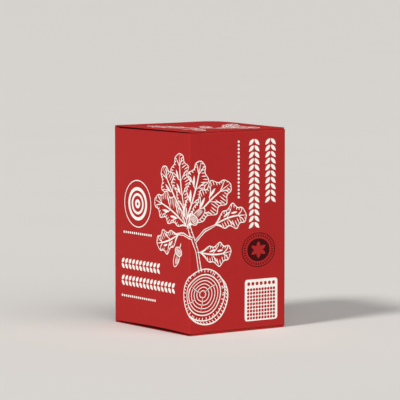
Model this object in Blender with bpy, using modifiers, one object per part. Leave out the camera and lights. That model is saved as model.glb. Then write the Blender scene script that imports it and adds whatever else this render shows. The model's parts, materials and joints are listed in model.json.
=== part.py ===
"""A mushroom grow kit: a straight-tuck carton of fluted board, shut, with the bagged block that it holds.

The carton stands on its base with its tuck side to -Y and its hinge side to +Y. One blank is printed,
creased and folded: four walls joined by a glue flap, a lid and a base that are both hinged on the back
wall and tucked in behind the front wall, and dust flaps on the side walls under each of them.
"""

import math

import bmesh
import bpy
from mathutils import Matrix, Vector

MM = 0.001

# Carton, outside
WIDTH = 133.0 * MM
DEPTH = 119.0 * MM
HEIGHT = 203.0 * MM
BOARD = 1.5 * MM
AIR = 0.3 * MM
CORNER_RADIUS = 1.6 * MM
CORNER_INNER_RADIUS = 0.4 * MM
CREASE_CHAMFER = 0.6 * MM
ARC_STEPS = 6

# Walls: the front wall and the first stretch of the right wall are cut back, which leaves a slit
SLIT_HEIGHT = 1.1 * MM
SLIT_LENGTH = 15.0 * MM
GLUE_FLAP_LENGTH = 16.0 * MM
GLUE_FLAP_CLEARANCE = 4.0 * MM
GLUE_FLAP_TAPER = 5.0 * MM
GLUE_FLAP_CORNER = 1.5 * MM
GLUE_BITE = 0.2 * MM
SEAM_WIDTH = 0.5 * MM
SEAM_DEPTH = 0.9 * MM
SEAM_CORNER = 0.8 * MM

# Lid and base panels
PANEL_SIDE_CLEARANCE = 0.6 * MM
NOSE_SETBACK = 0.4 * MM
NOSE_RADIUS = 1.2 * MM
LID_SPRING = 2.4 * MM
LID_SPRING_REACH = 0.55
LID_SPRING_SKEW = -16.0 * MM
LID_SPRING_RISE = 0.6
LID_SPRING_EDGE = 4
LID_STATIONS = 16
LID_ROWS = 14

# Tuck flaps
TUCK_LENGTH = 17.0 * MM
TUCK_GAP = 0.4 * MM
TUCK_LEAN = math.radians(5.0)
TUCK_SIDE_INSET = 2.0 * MM
TUCK_TAPER = 3.0 * MM
TUCK_CORNER = 9.0 * MM

# Dust flaps
DUST_LENGTH = 48.0 * MM
DUST_FRONT_TAPER = 11.0 * MM
DUST_REAR_TAPER = 5.0 * MM
DUST_CORNER = 6.0 * MM

# Contents
BAG_WIDTH = 116.0 * MM
BAG_DEPTH = 106.0 * MM
BAG_HEIGHT = 154.0 * MM
BAG_FILM = 0.6 * MM
BAG_EDGE = 9.0 * MM
BAG_SHIFT = 0.8 * MM
BAG_SLACK = 2.0 * MM
NECK_WIDTH = 84.0 * MM
NECK_DEPTH = 56.0 * MM
NECK_HEIGHT = 5.0 * MM
NECK_EDGE = 2.0 * MM
NECK_SINK = 2.0 * MM
VENT_RADIUS = 4.0 * MM
PATCH_SIDE = 38.0 * MM
PATCH_THICKNESS = 0.8 * MM
PATCH_CORNER = 2.0 * MM
PATCH_PLACE = 17.0 * MM
TAPE_WIDTH = 24.0 * MM
TAPE_LENGTH = 52.0 * MM
TAPE_THICKNESS = 0.5 * MM
TAPE_PLACE = -22.0 * MM
BLOCK_CUTS = 14
BLOCK_DENT = 1.6 * MM
BLOCK_LONG_WAVE = 30.0 * MM
BLOCK_SHORT_WAVE = 37.0 * MM
BLOCK_WAVE_SHIFT = 2.1

# Levels, from the floor up
BASE_TOP = BOARD
WALL_LOW = BASE_TOP + AIR
LID_BOTTOM = HEIGHT - BOARD
WALL_HIGH = LID_BOTTOM - AIR
BAG_LOW = WALL_LOW + BOARD + AIR
FRONT = -DEPTH / 2
BACK = DEPTH / 2
RIGHT = WIDTH / 2

# Crease axes: each line is where the board bends
HINGE_Y = BACK - BOARD / 2
HINGE_Z = HEIGHT - BOARD / 2
TUCK_Y = FRONT + 2 * BOARD + TUCK_GAP
TUCK_Z = WALL_HIGH
DUST_X = RIGHT - BOARD
DUST_Z = WALL_HIGH - BOARD


def clear_scene():
    for obj in list(bpy.data.objects):
        bpy.data.objects.remove(obj, do_unlink=True)


def new_collection(name):
    collection = bpy.data.collections.new(name)
    bpy.context.scene.collection.children.link(collection)
    return collection


def new_material(name, colour, roughness, alpha=1.0):
    material = bpy.data.materials.new(name)
    material.use_nodes = True
    shader = material.node_tree.nodes["Principled BSDF"]
    shader.inputs["Base Color"].default_value = (*colour, 1.0)
    shader.inputs["Roughness"].default_value = roughness
    shader.inputs["Metallic"].default_value = 0.0
    shader.inputs["Alpha"].default_value = alpha
    return material


def add_object(name, data, material, collection, matrix=None):
    """Links one named piece, standing at the given place."""
    obj = bpy.data.objects.new(name, data)
    collection.objects.link(obj)
    if matrix is not None:
        obj.matrix_world = matrix
    if material is not None:
        data.materials.append(material)
    return obj


def arc(centre, radius, start, end, steps=ARC_STEPS):
    """Points on an arc in a plane, both ends among them; angles in radians."""
    return [
        Vector((
            centre[0] + radius * math.cos(start + (end - start) * i / steps),
            centre[1] + radius * math.sin(start + (end - start) * i / steps),
        ))
        for i in range(steps + 1)
    ]


def rounded(corners):
    """An outline through (x, y, radius) corners, each rounded by an arc where its radius is not 0."""
    outline = []
    count = len(corners)
    for i, (x, y, radius) in enumerate(corners):
        corner = Vector((x, y))
        if radius == 0:
            outline.append(corner)
            continue
        before = (Vector(corners[i - 1][:2]) - corner).normalized()
        after = (Vector(corners[(i + 1) % count][:2]) - corner).normalized()
        half = before.angle(after) / 2
        centre = corner + (before + after).normalized() * (radius / math.sin(half))
        start = corner + before * (radius / math.tan(half)) - centre
        end = corner + after * (radius / math.tan(half)) - centre
        first = math.atan2(start.y, start.x)
        turn = math.atan2(start.cross(end), start.dot(end))
        outline += arc(centre, radius, first, first + turn)
    return outline


def flat_curve(name, outlines, thickness):
    """A filled 2D curve, as thick as the board, centred on its own plane."""
    curve = bpy.data.curves.new(name, "CURVE")
    curve.dimensions = "2D"
    curve.fill_mode = "BOTH"
    curve.extrude = thickness / 2
    for outline in outlines:
        spline = curve.splines.new("POLY")
        spline.points.add(len(outline) - 1)
        for point, place in zip(spline.points, outline):
            point.co = (place.x, place.y, 0.0, 1.0)
        spline.use_cyclic_u = True
    return curve


def curve_to_mesh(obj, collection):
    """The curve as a mesh object in the same place, with its caps welded on."""
    graph = bpy.context.evaluated_depsgraph_get()
    mesh = bpy.data.meshes.new_from_object(obj.evaluated_get(graph))
    name, place, hidden = obj.name, obj.matrix_world.copy(), obj.hide_render
    bpy.data.objects.remove(obj, do_unlink=True)
    body = bmesh.new()
    body.from_mesh(mesh)
    bmesh.ops.remove_doubles(body, verts=body.verts, dist=0.01 * MM)
    bmesh.ops.recalc_face_normals(body, faces=body.faces)
    body.to_mesh(mesh)
    body.free()
    if hidden:
        return add_cutter(name, mesh, place, collection)
    return add_object(name, mesh, None, collection, place)


def box_mesh(name, size):
    body = bmesh.new()
    bmesh.ops.create_cube(body, size=1.0)
    bmesh.ops.scale(body, vec=size, verts=body.verts)
    mesh = bpy.data.meshes.new(name)
    body.to_mesh(mesh)
    body.free()
    return mesh


def add_cutter(name, data, matrix, cutters):
    cutter = add_object(name, data, None, cutters, matrix)
    cutter.display_type = "WIRE"
    cutter.hide_render = True
    return cutter


def add_crease(name, collection, location, turn=0.0):
    """An empty on the line where a flap bends, turned about that line's X axis."""
    crease = bpy.data.objects.new(name, None)
    collection.objects.link(crease)
    crease.location = location
    crease.rotation_euler = (turn, 0, 0)
    return crease


def boolean(obj, other, operation="DIFFERENCE"):
    modifier = obj.modifiers.new(other.name, "BOOLEAN")
    modifier.operation = operation
    modifier.object = other


def add_bevel(obj, width, segments):
    bevel = obj.modifiers.new("rounded edges", "BEVEL")
    bevel.width = width
    bevel.segments = segments
    bevel.limit_method = "ANGLE"


def wall_outlines():
    """The walls in plan: the outside, with the notch of its glued seam, and the inside."""
    seam_y = BACK - BOARD
    outside = rounded([
        (-RIGHT, FRONT, CORNER_RADIUS),
        (RIGHT, FRONT, CORNER_RADIUS),
        (RIGHT, BACK, CORNER_RADIUS),
        (-RIGHT + SEAM_DEPTH, BACK, SEAM_CORNER),
        (-RIGHT + SEAM_DEPTH, seam_y, 0),
        (-RIGHT, seam_y - SEAM_WIDTH, 0),
    ])
    inside = rounded([
        (-RIGHT + BOARD, FRONT + BOARD, CORNER_INNER_RADIUS),
        (RIGHT - BOARD, FRONT + BOARD, CORNER_INNER_RADIUS),
        (RIGHT - BOARD, BACK - BOARD, CORNER_INNER_RADIUS),
        (-RIGHT + BOARD, BACK - BOARD, CORNER_INNER_RADIUS),
    ])
    return outside, inside


def glue_flap_outline():
    """The glue flap from the side: y along the left wall, z up, with both ends cut at a slant."""
    root = BACK - BOARD + GLUE_BITE
    tip = BACK - BOARD - GLUE_FLAP_LENGTH
    low = WALL_LOW + GLUE_FLAP_CLEARANCE
    high = WALL_HIGH - GLUE_FLAP_CLEARANCE
    return rounded([
        (root, low, 0),
        (tip, low + GLUE_FLAP_TAPER, GLUE_FLAP_CORNER),
        (tip, high - GLUE_FLAP_TAPER, GLUE_FLAP_CORNER),
        (root, high, 0),
    ])


def build_glue_flap(cutters):
    """The glue flap, a hair thicker than the board so that it bites into the wall that it is glued to."""
    curve = flat_curve("glue_flap", [glue_flap_outline()], BOARD + GLUE_BITE)
    upright = Matrix.Rotation(math.pi / 2, 4, "Z") @ Matrix.Rotation(math.pi / 2, 4, "X")
    place = Matrix.Translation((-RIGHT + BOARD + (BOARD - GLUE_BITE) / 2, 0, 0)) @ upright
    return curve_to_mesh(add_cutter("glue_flap", curve, place, cutters), cutters)


def build_walls(material, parts, cutters):
    """Four walls and the glue flap, as one bent strip of board."""
    height = WALL_HIGH - WALL_LOW
    place = Matrix.Translation((0, 0, WALL_LOW + height / 2))
    curve = flat_curve("carton_walls", wall_outlines(), height)
    walls = curve_to_mesh(add_object("carton_walls", curve, material, parts, place), parts)
    boolean(walls, build_glue_flap(cutters), "UNION")
    for end, level in (("lower", WALL_LOW), ("upper", WALL_HIGH)):
        slit = box_mesh(f"{end}_slit", (2 * WIDTH, 2 * SLIT_LENGTH, 2 * (SLIT_HEIGHT - AIR)))
        right_of_corner = Matrix.Translation((RIGHT + CORNER_RADIUS, FRONT, level))
        boolean(walls, add_cutter(f"{end}_slit", slit, right_of_corner, cutters))
        side = 2 * CREASE_CHAMFER / math.sqrt(2)
        runs = (
            ("left", (-RIGHT, 0), (side, 2 * DEPTH, side), "Y"),
            ("right", (RIGHT, 0), (side, 2 * DEPTH, side), "Y"),
            ("back", (0, BACK), (2 * WIDTH, side, side), "X"),
        )
        for where, (x, y), size, axis in runs:
            mesh = box_mesh(f"{end}_{where}_crease", size)
            turned = Matrix.Translation((x, y, level)) @ Matrix.Rotation(math.radians(45), 4, axis)
            boolean(walls, add_cutter(f"{end}_{where}_crease", mesh, turned, cutters))
    return walls


def panel_profile():
    """The lid in side view about its hinge crease: y towards the front, z up from mid-board."""
    reach = HINGE_Y - FRONT - NOSE_SETBACK
    half = BOARD / 2
    rows = [-(reach - NOSE_RADIUS) * i / LID_ROWS for i in range(1, LID_ROWS)]
    crease = arc((0, 0), half, -math.pi / 2, math.pi / 2)
    top = [Vector((y, half)) for y in rows]
    front = arc((-reach + NOSE_RADIUS, half - NOSE_RADIUS), NOSE_RADIUS, math.pi / 2, math.pi)
    corner = [Vector((-reach, -half))]
    bottom = [Vector((y, -half)) for y in reversed(rows)]
    return crease + top + front + corner + bottom


def lid_spring(x, y):
    """How far the lid stands up from flat where its crease springs back, in metres."""
    across = math.cos(math.pi * (x - LID_SPRING_SKEW) / (2 * (RIGHT + abs(LID_SPRING_SKEW))))
    edge = 1 - (x / RIGHT) ** LID_SPRING_EDGE
    along = min(max(-y / (DEPTH * LID_SPRING_REACH), 0.0), 1.0)
    return LID_SPRING * max(across, 0) * max(edge, 0) * math.sin(math.pi * along**LID_SPRING_RISE)


def build_panel(name, rise, material, parts):
    """A lid or base panel: its side view swept across the carton, with its origin on the crease."""
    body = bmesh.new()
    half_width = RIGHT - PANEL_SIDE_CLEARANCE
    corners = [body.verts.new((-half_width, p.x, p.y)) for p in panel_profile()]
    ring = [body.edges.new((corners[i - 1], corners[i])) for i in range(len(corners))]
    for _ in range(LID_STATIONS):
        swept = bmesh.ops.extrude_edge_only(body, edges=ring)["geom"]
        moved = [item for item in swept if isinstance(item, bmesh.types.BMVert)]
        ring = [item for item in swept if isinstance(item, bmesh.types.BMEdge)]
        bmesh.ops.translate(body, verts=moved, vec=(2 * half_width / LID_STATIONS, 0, 0))
    bmesh.ops.holes_fill(body, edges=[edge for edge in body.edges if edge.is_boundary])
    for vert in body.verts:
        vert.co.z += rise(vert.co.x, vert.co.y)
    bmesh.ops.recalc_face_normals(body, faces=body.faces)
    mesh = bpy.data.meshes.new(name)
    body.to_mesh(mesh)
    body.free()
    return add_object(name, mesh, material, parts, Matrix.Translation((0, HINGE_Y, HINGE_Z)))


def build_lid(material, parts):
    return build_panel("lid_panel", lid_spring, material, parts)


def build_base(material, parts):
    """The base panel is the lid's twin without its spring, turned over under the walls."""
    base = build_panel("base_panel", lambda x, y: 0.0, material, parts)
    turn = Matrix.Rotation(math.pi, 4, "Y")
    base.matrix_world = Matrix.Translation((0, HINGE_Y, BOARD / 2)) @ turn
    return base


def tuck_outline():
    """A tuck flap laid flat: x across the carton, y from its crease to its free edge."""
    root = RIGHT - BOARD - TUCK_SIDE_INSET
    tip = root - TUCK_TAPER
    return rounded([
        (-root, 0, 0),
        (-tip, -TUCK_LENGTH, TUCK_CORNER),
        (tip, -TUCK_LENGTH, TUCK_CORNER),
        (root, 0, 0),
    ])


def build_tuck_flap(name, level, direction, material, parts):
    """A tuck flap behind the front wall; direction is 1 for one that hangs and -1 for one that stands."""
    turn = direction * (math.pi / 2 + TUCK_LEAN)
    curve = flat_curve(name, [tuck_outline()], BOARD)
    flap = add_object(name, curve, material, parts)
    flap.parent = add_crease(f"{name}_crease", parts, (0, TUCK_Y, level), turn)
    flap.location = (0, 0, direction * BOARD / 2)
    return flap


def dust_outline():
    """The right-hand dust flap in plan about its crease: x into the carton, y along the wall."""
    front = FRONT + SLIT_LENGTH + AIR
    rear = BACK - BOARD - AIR
    return rounded([
        (-AIR, front, 0),
        (-AIR, rear, 0),
        (-DUST_LENGTH, rear - DUST_REAR_TAPER, DUST_CORNER),
        (-DUST_LENGTH, front + DUST_FRONT_TAPER, DUST_CORNER),
    ])


def build_dust_flap(name, side, level, direction, material, parts):
    """A dust flap: side is 1 for the right and -1 for the left, direction 1 for the lid, -1 for the base."""
    outline = [Vector((side * p.x, p.y)) for p in dust_outline()]
    flap = add_object(name, flat_curve(name, [outline], BOARD), material, parts)
    flap.parent = add_crease(f"{name}_crease", parts, (side * DUST_X, 0, level))
    flap.location = (0, 0, direction * BOARD / 2)
    return flap


def build_bag(material, parts, cutters):
    """The grow bag: a loose film box round the block, with its neck folded flat on top."""
    centre = Vector((0, BAG_SHIFT, BAG_LOW + BAG_HEIGHT / 2))
    bag = add_object(
        "grow_bag",
        box_mesh("grow_bag", (BAG_WIDTH, BAG_DEPTH, BAG_HEIGHT)),
        material,
        parts,
        Matrix.Translation(centre),
    )
    add_bevel(bag, BAG_EDGE, 4)

    neck_height = NECK_HEIGHT + NECK_SINK
    neck_z = BAG_LOW + BAG_HEIGHT - NECK_SINK + neck_height / 2
    neck = add_cutter(
        "bag_neck",
        box_mesh("bag_neck", (NECK_WIDTH, NECK_DEPTH, neck_height)),
        Matrix.Translation((0, BAG_SHIFT, neck_z)),
        cutters,
    )
    add_bevel(neck, NECK_EDGE, 2)
    boolean(bag, neck, "UNION")

    room = [size - 2 * BAG_FILM for size in (BAG_WIDTH, BAG_DEPTH, BAG_HEIGHT)]
    hollow = add_cutter("bag_hollow", box_mesh("bag_hollow", room), Matrix.Translation(centre), cutters)
    add_bevel(hollow, BAG_EDGE - BAG_FILM, 4)
    boolean(bag, hollow)

    vent_mesh = bpy.data.meshes.new("vent")
    body = bmesh.new()
    bmesh.ops.create_cone(
        body, cap_ends=True, segments=24, radius1=VENT_RADIUS, radius2=VENT_RADIUS, depth=4 * NECK_HEIGHT
    )
    body.to_mesh(vent_mesh)
    body.free()
    vent = add_cutter("vent", vent_mesh, Matrix.Translation((PATCH_PLACE, BAG_SHIFT, neck_z)), cutters)
    boolean(bag, vent)
    return neck_z + neck_height / 2


def build_bag_trim(neck_top, patch_material, tape_material, parts):
    """The breathing patch over the vent and the tape that holds the folded neck."""
    patch_z = neck_top + AIR + PATCH_THICKNESS / 2
    half = PATCH_SIDE / 2
    signs = ((-1, -1), (1, -1), (1, 1), (-1, 1))
    square = rounded([(half * x, half * y, PATCH_CORNER) for x, y in signs])
    patch = flat_curve("filter_patch", [square], PATCH_THICKNESS)
    patch_place = Matrix.Translation((PATCH_PLACE, BAG_SHIFT, patch_z))
    add_object("filter_patch", patch, patch_material, parts, patch_place)

    tape_z = neck_top + AIR + TAPE_THICKNESS / 2
    tape = box_mesh("bag_tape", (TAPE_WIDTH, TAPE_LENGTH, TAPE_THICKNESS))
    add_object("bag_tape", tape, tape_material, parts, Matrix.Translation((TAPE_PLACE, BAG_SHIFT, tape_z)))


def build_block(material, parts):
    """The colonised sawdust block: a brick with soft edges and shallow dents, standing loose in its bag."""
    film = Vector((1, 1, 1)) * 2 * BAG_FILM
    size = Vector((BAG_WIDTH, BAG_DEPTH, BAG_HEIGHT)) - film - Vector((2, 2, 1)) * BAG_SLACK
    body = bmesh.new()
    bmesh.ops.create_cube(body, size=1.0)
    bmesh.ops.subdivide_edges(body, edges=body.edges, cuts=BLOCK_CUTS, use_grid_fill=True)
    bmesh.ops.scale(body, vec=size, verts=body.verts)
    inner = size / 2 - Vector((BAG_EDGE, BAG_EDGE, BAG_EDGE))
    for vert in body.verts:
        core = Vector((max(-inner[i], min(inner[i], vert.co[i])) for i in range(3)))
        out = (vert.co - core).normalized()
        waves = 0.0
        for i in range(3):
            crest = math.sin(2 * math.pi * vert.co[i] / BLOCK_LONG_WAVE + BLOCK_WAVE_SHIFT * i)
            waves += crest * math.cos(2 * math.pi * vert.co[i - 1] / BLOCK_SHORT_WAVE + i) / 3
        dent = BLOCK_DENT * (1 - waves) / 2
        vert.co = core + out * (BAG_EDGE - dent)
    mesh = bpy.data.meshes.new("substrate_block")
    body.to_mesh(mesh)
    body.free()
    mesh.shade_smooth()
    low = BAG_LOW + BAG_FILM + AIR
    centre = Vector((0, BAG_SHIFT, low + size.z / 2))
    return add_object("substrate_block", mesh, material, parts, Matrix.Translation(centre))


def main():
    clear_scene()
    parts = new_collection("mushroom_grow_kit")
    cutters = new_collection("cutters")

    board = new_material("printed fluted board", (0.43, 0.03, 0.027), 0.55)
    film = new_material("polypropylene film", (0.85, 0.86, 0.86), 0.2, alpha=0.35)
    fleece = new_material("filter fleece", (0.86, 0.86, 0.84), 0.9)
    tape = new_material("creped paper tape", (0.72, 0.58, 0.38), 0.7)
    mycelium = new_material("colonised sawdust", (0.30, 0.19, 0.11), 0.85)

    build_walls(board, parts, cutters)
    build_lid(board, parts)
    build_base(board, parts)
    build_tuck_flap("tuck_flap", TUCK_Z, 1, board, parts)
    build_tuck_flap("base_tuck_flap", HEIGHT - TUCK_Z, -1, board, parts)
    for side, where in ((1, "right"), (-1, "left")):
        build_dust_flap(f"dust_flap_{where}", side, DUST_Z, 1, board, parts)
        build_dust_flap(f"base_dust_flap_{where}", side, HEIGHT - DUST_Z, -1, board, parts)
    neck_top = build_bag(film, parts, cutters)
    build_bag_trim(neck_top, fleece, tape, parts)
    build_block(mycelium, parts)


main()
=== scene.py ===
# %% [markdown]
# # A mushroom grow kit in its printed carton
# The real object is one blank of fluted board. It is printed while it lies flat, then creased, folded
# and glued at one corner, and a bagged block of sawdust stands inside it. This script makes it in the
# same order: the print is drawn on the flat blank, and the flat sheet is then folded round the packed
# model, which gives every place and size. The first cell loads that model and keeps its box.

import json
import math
import random
from bisect import bisect_right

import bmesh
import bpy
from mathutils import Matrix, Vector, geometry, noise


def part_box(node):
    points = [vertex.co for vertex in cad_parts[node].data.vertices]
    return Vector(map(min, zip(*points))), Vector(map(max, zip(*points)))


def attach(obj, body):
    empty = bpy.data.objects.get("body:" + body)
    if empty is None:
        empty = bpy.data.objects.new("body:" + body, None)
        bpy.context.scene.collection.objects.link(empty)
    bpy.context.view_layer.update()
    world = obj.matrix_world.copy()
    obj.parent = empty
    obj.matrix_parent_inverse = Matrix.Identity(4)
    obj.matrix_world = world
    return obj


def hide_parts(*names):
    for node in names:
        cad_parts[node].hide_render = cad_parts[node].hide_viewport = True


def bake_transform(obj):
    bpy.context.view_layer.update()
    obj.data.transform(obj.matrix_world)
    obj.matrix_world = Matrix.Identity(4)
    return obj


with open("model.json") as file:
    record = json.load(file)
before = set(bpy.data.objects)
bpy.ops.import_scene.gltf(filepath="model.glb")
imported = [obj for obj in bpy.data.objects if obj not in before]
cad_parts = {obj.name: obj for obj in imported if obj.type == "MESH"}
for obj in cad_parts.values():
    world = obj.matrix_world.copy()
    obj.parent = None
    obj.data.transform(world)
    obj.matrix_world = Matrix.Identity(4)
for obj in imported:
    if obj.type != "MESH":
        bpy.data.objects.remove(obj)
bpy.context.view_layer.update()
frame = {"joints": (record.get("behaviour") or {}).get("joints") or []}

# %% [markdown]
# Lengths below are millimetres, as on a carton maker's drawing, and they become metres only where a
# vertex is made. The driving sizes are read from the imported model, so the folded sheets fit it.

# %% Sizes from the model
MM = 0.001


def corners(node):
    """The lowest and the highest corner of a CAD node, in millimetres."""
    return [Vector([round(value / MM, 3) for value in corner]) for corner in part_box(node)]


crease_at = {joint["name"]: Vector(joint["pos_m"]) / MM for joint in frame["joints"]}
walls_low, walls_high = corners("carton_walls")
dust_low, dust_high = corners("dust_flap_right")
lid_low, lid_high = corners("lid_panel")
tuck_high = corners("tuck_flap")[1]

BOARD = round(dust_high.z - dust_low.z, 2)
RIGHT = walls_high.x
FRONT = walls_low.y
BACK = walls_high.y
HINGE = crease_at["lid_crease"]
HEIGHT = round(HINGE.z + BOARD / 2, 2)
WIDTH = 2 * RIGHT
DEPTH = BACK - FRONT
print(f"carton {WIDTH} x {DEPTH} x {HEIGHT} mm, board {BOARD} mm")

# %% [markdown]
# ## Camera
# The photograph was taken with a long lens from the front right, a little above the lid. A camera
# fitted to the seven corners that show gave its place in metres and its turn. Its far clip lies behind
# the end of the floor. Every object of the scene is put there by the same two steps, so a function
# takes both.

# %% Camera
CAMERA_PLACE = (2.14865, -1.53072, 0.36130)
CAMERA_YAW = math.radians(54.519)
CAMERA_PITCH = math.radians(5.060)
LENS = 233.96
SENSOR = 36.0
NEAR_CLIP = 0.1
FAR_CLIP = 200.0


def put(name, data):
    """Puts a mesh, curve, lamp or camera into the scene as an object at the origin."""
    obj = bpy.data.objects.new(name, data)
    bpy.context.scene.collection.objects.link(obj)
    return obj


camera_data = bpy.data.cameras.new("photo_camera")
camera_data.lens = LENS
camera_data.sensor_width = SENSOR
camera_data.clip_start = NEAR_CLIP
camera_data.clip_end = FAR_CLIP
camera = put("photo_camera", camera_data)
camera.location = CAMERA_PLACE
camera.rotation_euler = (math.pi / 2 - CAMERA_PITCH, 0.0, CAMERA_YAW)
bpy.context.scene.camera = camera
print("camera stands", round(Vector(CAMERA_PLACE).length, 2), "m from the carton")

# %% [markdown]
# ## Materials
# Each finish starts from what the real one is. Colours are sRGB hex values, as a printer gives them,
# and one function turns them to the linear values that a shader adds up, by the two-part curve of the
# sRGB standard. One more function adds a node with its settings and its links. Paper fibre, clay, ink
# and polypropylene all bend light about as much, so one refractive index serves every finish here.

# %% Colours and nodes
REFRACTION = 1.5


def linear(colour):
    """An sRGB hex colour as linear RGBA."""
    channels = [int(colour[i:i + 2], 16) / 255 for i in (1, 3, 5)]
    return [c / 12.92 if c <= 0.04045 else ((c + 0.055) / 1.055) ** 2.4 for c in channels] + [1.0]


def add_node(tree, kind, inputs=None, stops=(), **settings):
    """Adds a node. Its inputs are values or the sockets of other nodes, by the input's name or number.
    The stops of a colour ramp are places with their colours."""
    made = tree.nodes.new(kind)
    for name, value in settings.items():
        setattr(made, name, value)
    for i, (position, colour) in enumerate(stops):
        made.color_ramp.elements[i].position = position
        made.color_ramp.elements[i].color = linear(colour)
    for key, value in (inputs or {}).items():
        if isinstance(value, bpy.types.NodeSocket):
            tree.links.new(value, made.inputs[key])
        else:
            made.inputs[key].default_value = value
    return made


def new_material(name, roughness, specular=0.5):
    """A node material with its shader's fixed values set on the shader itself."""
    material = bpy.data.materials.new(name)
    material.use_nodes = True
    shader = material.node_tree.nodes["Principled BSDF"]
    shader.inputs["Roughness"].default_value = roughness
    shader.inputs["IOR"].default_value = REFRACTION
    shader.inputs["Specular IOR Level"].default_value = specular
    return material, material.node_tree, shader


print("a mid grey, linear:", round(linear("#808080")[0], 3))

# %% [markdown]
# The board's outer liner is kraft paper with a thin white clay coat, printed by litho. Red is flooded
# over nearly all of it, white is the bare coat left open in the red, and the darkest tone is a second
# ink over the red. The same dark ink is also painted shade, laid on the roots of the tuck flaps where
# the slits over them lie in shade. To the eye that is an even, silky colour with hardly any gloss. All
# three lie on one paper, so they share its relief: fibres under the coat, and the faint washboard where
# the liner sinks about a hundredth of a millimetre between two flutes. A paper fibre is a few hundredths
# of a millimetre wide, too fine to show, so the fibres are drawn ten times as coarse.

# %% Printed liner
FLUTE_PITCH = 3.3
FIBRE_WIDTH = 0.35
FIBRE_RELIEF = 0.03
WASHBOARD_RELIEF = 0.012
INK_CLOUD = 9.0
SMOOTHER = 0.06
ROUGHER = 0.08
BLANK_MAP = "blank"


def washboard(tree):
    """A wave across the flutes, read from the flat blank's own map, which is in millimetres."""
    place = add_node(tree, "ShaderNodeUVMap", uv_map=BLANK_MAP)
    across = add_node(tree, "ShaderNodeSeparateXYZ", {0: place.outputs[0]})
    turn = add_node(
        tree, "ShaderNodeMath", {0: across.outputs[0], 1: 2 * math.pi / FLUTE_PITCH}, operation="MULTIPLY"
    )
    return add_node(tree, "ShaderNodeMath", {0: turn.outputs[0]}, operation="SINE").outputs[0]


def printed_liner(name, colour, faded, roughness, specular):
    """Ink on coated liner: a soft cloud in the ink film, fibres, and the washboard under both."""
    material, tree, shader = new_material(name, roughness, specular=specular)
    place = add_node(tree, "ShaderNodeTexCoord").outputs["Object"]
    cloud = add_node(
        tree, "ShaderNodeTexNoise", {"Vector": place, "Scale": 1 / (INK_CLOUD * MM), "Detail": 4.0}
    )
    fibre = add_node(
        tree, "ShaderNodeTexNoise", {"Vector": place, "Scale": 1 / (FIBRE_WIDTH * MM), "Detail": 3.0}
    )
    ink = add_node(
        tree, "ShaderNodeMix", {"Factor": cloud.outputs["Fac"], 6: linear(colour), 7: linear(faded)},
        data_type="RGBA",
    )
    tree.links.new(ink.outputs[2], shader.inputs["Base Color"])
    grain = add_node(
        tree, "ShaderNodeMapRange",
        {"Value": fibre.outputs["Fac"], "To Min": roughness - SMOOTHER, "To Max": roughness + ROUGHER},
    )
    tree.links.new(grain.outputs[0], shader.inputs["Roughness"])
    paper = add_node(
        tree, "ShaderNodeBump",
        {"Height": fibre.outputs["Fac"], "Strength": 0.25, "Distance": FIBRE_RELIEF * MM},
    )
    waved = add_node(
        tree, "ShaderNodeBump",
        {"Height": washboard(tree), "Strength": 0.5, "Distance": WASHBOARD_RELIEF * MM,
         "Normal": paper.outputs[0]},
    )
    tree.links.new(waved.outputs[0], shader.inputs["Normal"])
    return material


red_print = printed_liner("red_litho_ink_on_coated_liner", "#B02322", "#AA2120", 0.6, 0.15)
white_coat = printed_liner("bare_clay_coat", "#FBF8F1", "#F4F0E8", 0.6, 0.2)
# The dark ink doubles as painted shade: it darkens the tuck flaps' roots in the slits under the lid and over
# the base.
dark_print_and_slit_shade = printed_liner("maroon_overprint_and_painted_slit_shade", "#3C0609", "#42080B", 0.6, 0.08)
print("inks:", red_print.name, white_coat.name, dark_print_and_slit_shade.name)

# %% [markdown]
# The inside of the carton is the unprinted face of a kraft liner: brown flecks of fibre, quite matt, and
# the washboard shows more, because no coat fills it. The die-cut edges in the photograph are as red as
# the faces, as on board whose edge took the ink, so the edge is the same fibre, stained and matt. The
# flecks are about a millimetre, and the paper machine drew them out to four times that length.

# %% Kraft liner and cut edges
KRAFT_FLECK = 1.1
KRAFT_RELIEF = 0.06
KRAFT_WASHBOARD = 0.05
ALONG_WEB = (1.0, 1.0, 0.22)


def kraft(name, colour, fleck, roughness, wave=0.0):
    """Uncoated kraft: flecks drawn out along the web, and the washboard at the depth that is given."""
    material, tree, shader = new_material(name, roughness, specular=0.2)
    place = add_node(tree, "ShaderNodeTexCoord").outputs["Object"]
    drawn = add_node(tree, "ShaderNodeMapping", {"Vector": place, "Scale": ALONG_WEB})
    flecks = add_node(
        tree, "ShaderNodeTexNoise",
        {"Vector": drawn.outputs[0], "Scale": 1 / (KRAFT_FLECK * MM), "Detail": 6.0, "Roughness": 0.7},
    )
    ramp = add_node(
        tree, "ShaderNodeValToRGB", {"Fac": flecks.outputs["Fac"]}, stops=((0.34, fleck), (0.62, colour))
    )
    tree.links.new(ramp.outputs[0], shader.inputs["Base Color"])
    rough = add_node(
        tree, "ShaderNodeBump",
        {"Height": flecks.outputs["Fac"], "Strength": 0.4, "Distance": KRAFT_RELIEF * MM},
    )
    if wave:
        rough = add_node(
            tree, "ShaderNodeBump",
            {"Height": washboard(tree), "Strength": 0.6, "Distance": wave * MM, "Normal": rough.outputs[0]},
        )
    tree.links.new(rough.outputs[0], shader.inputs["Normal"])
    return material


kraft_liner = kraft("kraft_liner", "#B48A5E", "#9A7046", 0.85, KRAFT_WASHBOARD)
cut_edge = kraft("red_stained_cut_edge", "#BC2A26", "#A82320", 0.85)
flute_paper = kraft("fluting_medium", "#9C7349", "#83603A", 0.9)
BOARD_MATERIALS = [red_print, white_coat, dark_print_and_slit_shade, kraft_liner, cut_edge]
RED, WHITE, DARK_INK_AND_SLIT_SHADE, INSIDE, EDGE = range(len(BOARD_MATERIALS))
print("board faces:", ", ".join(material.name for material in BOARD_MATERIALS))

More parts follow.
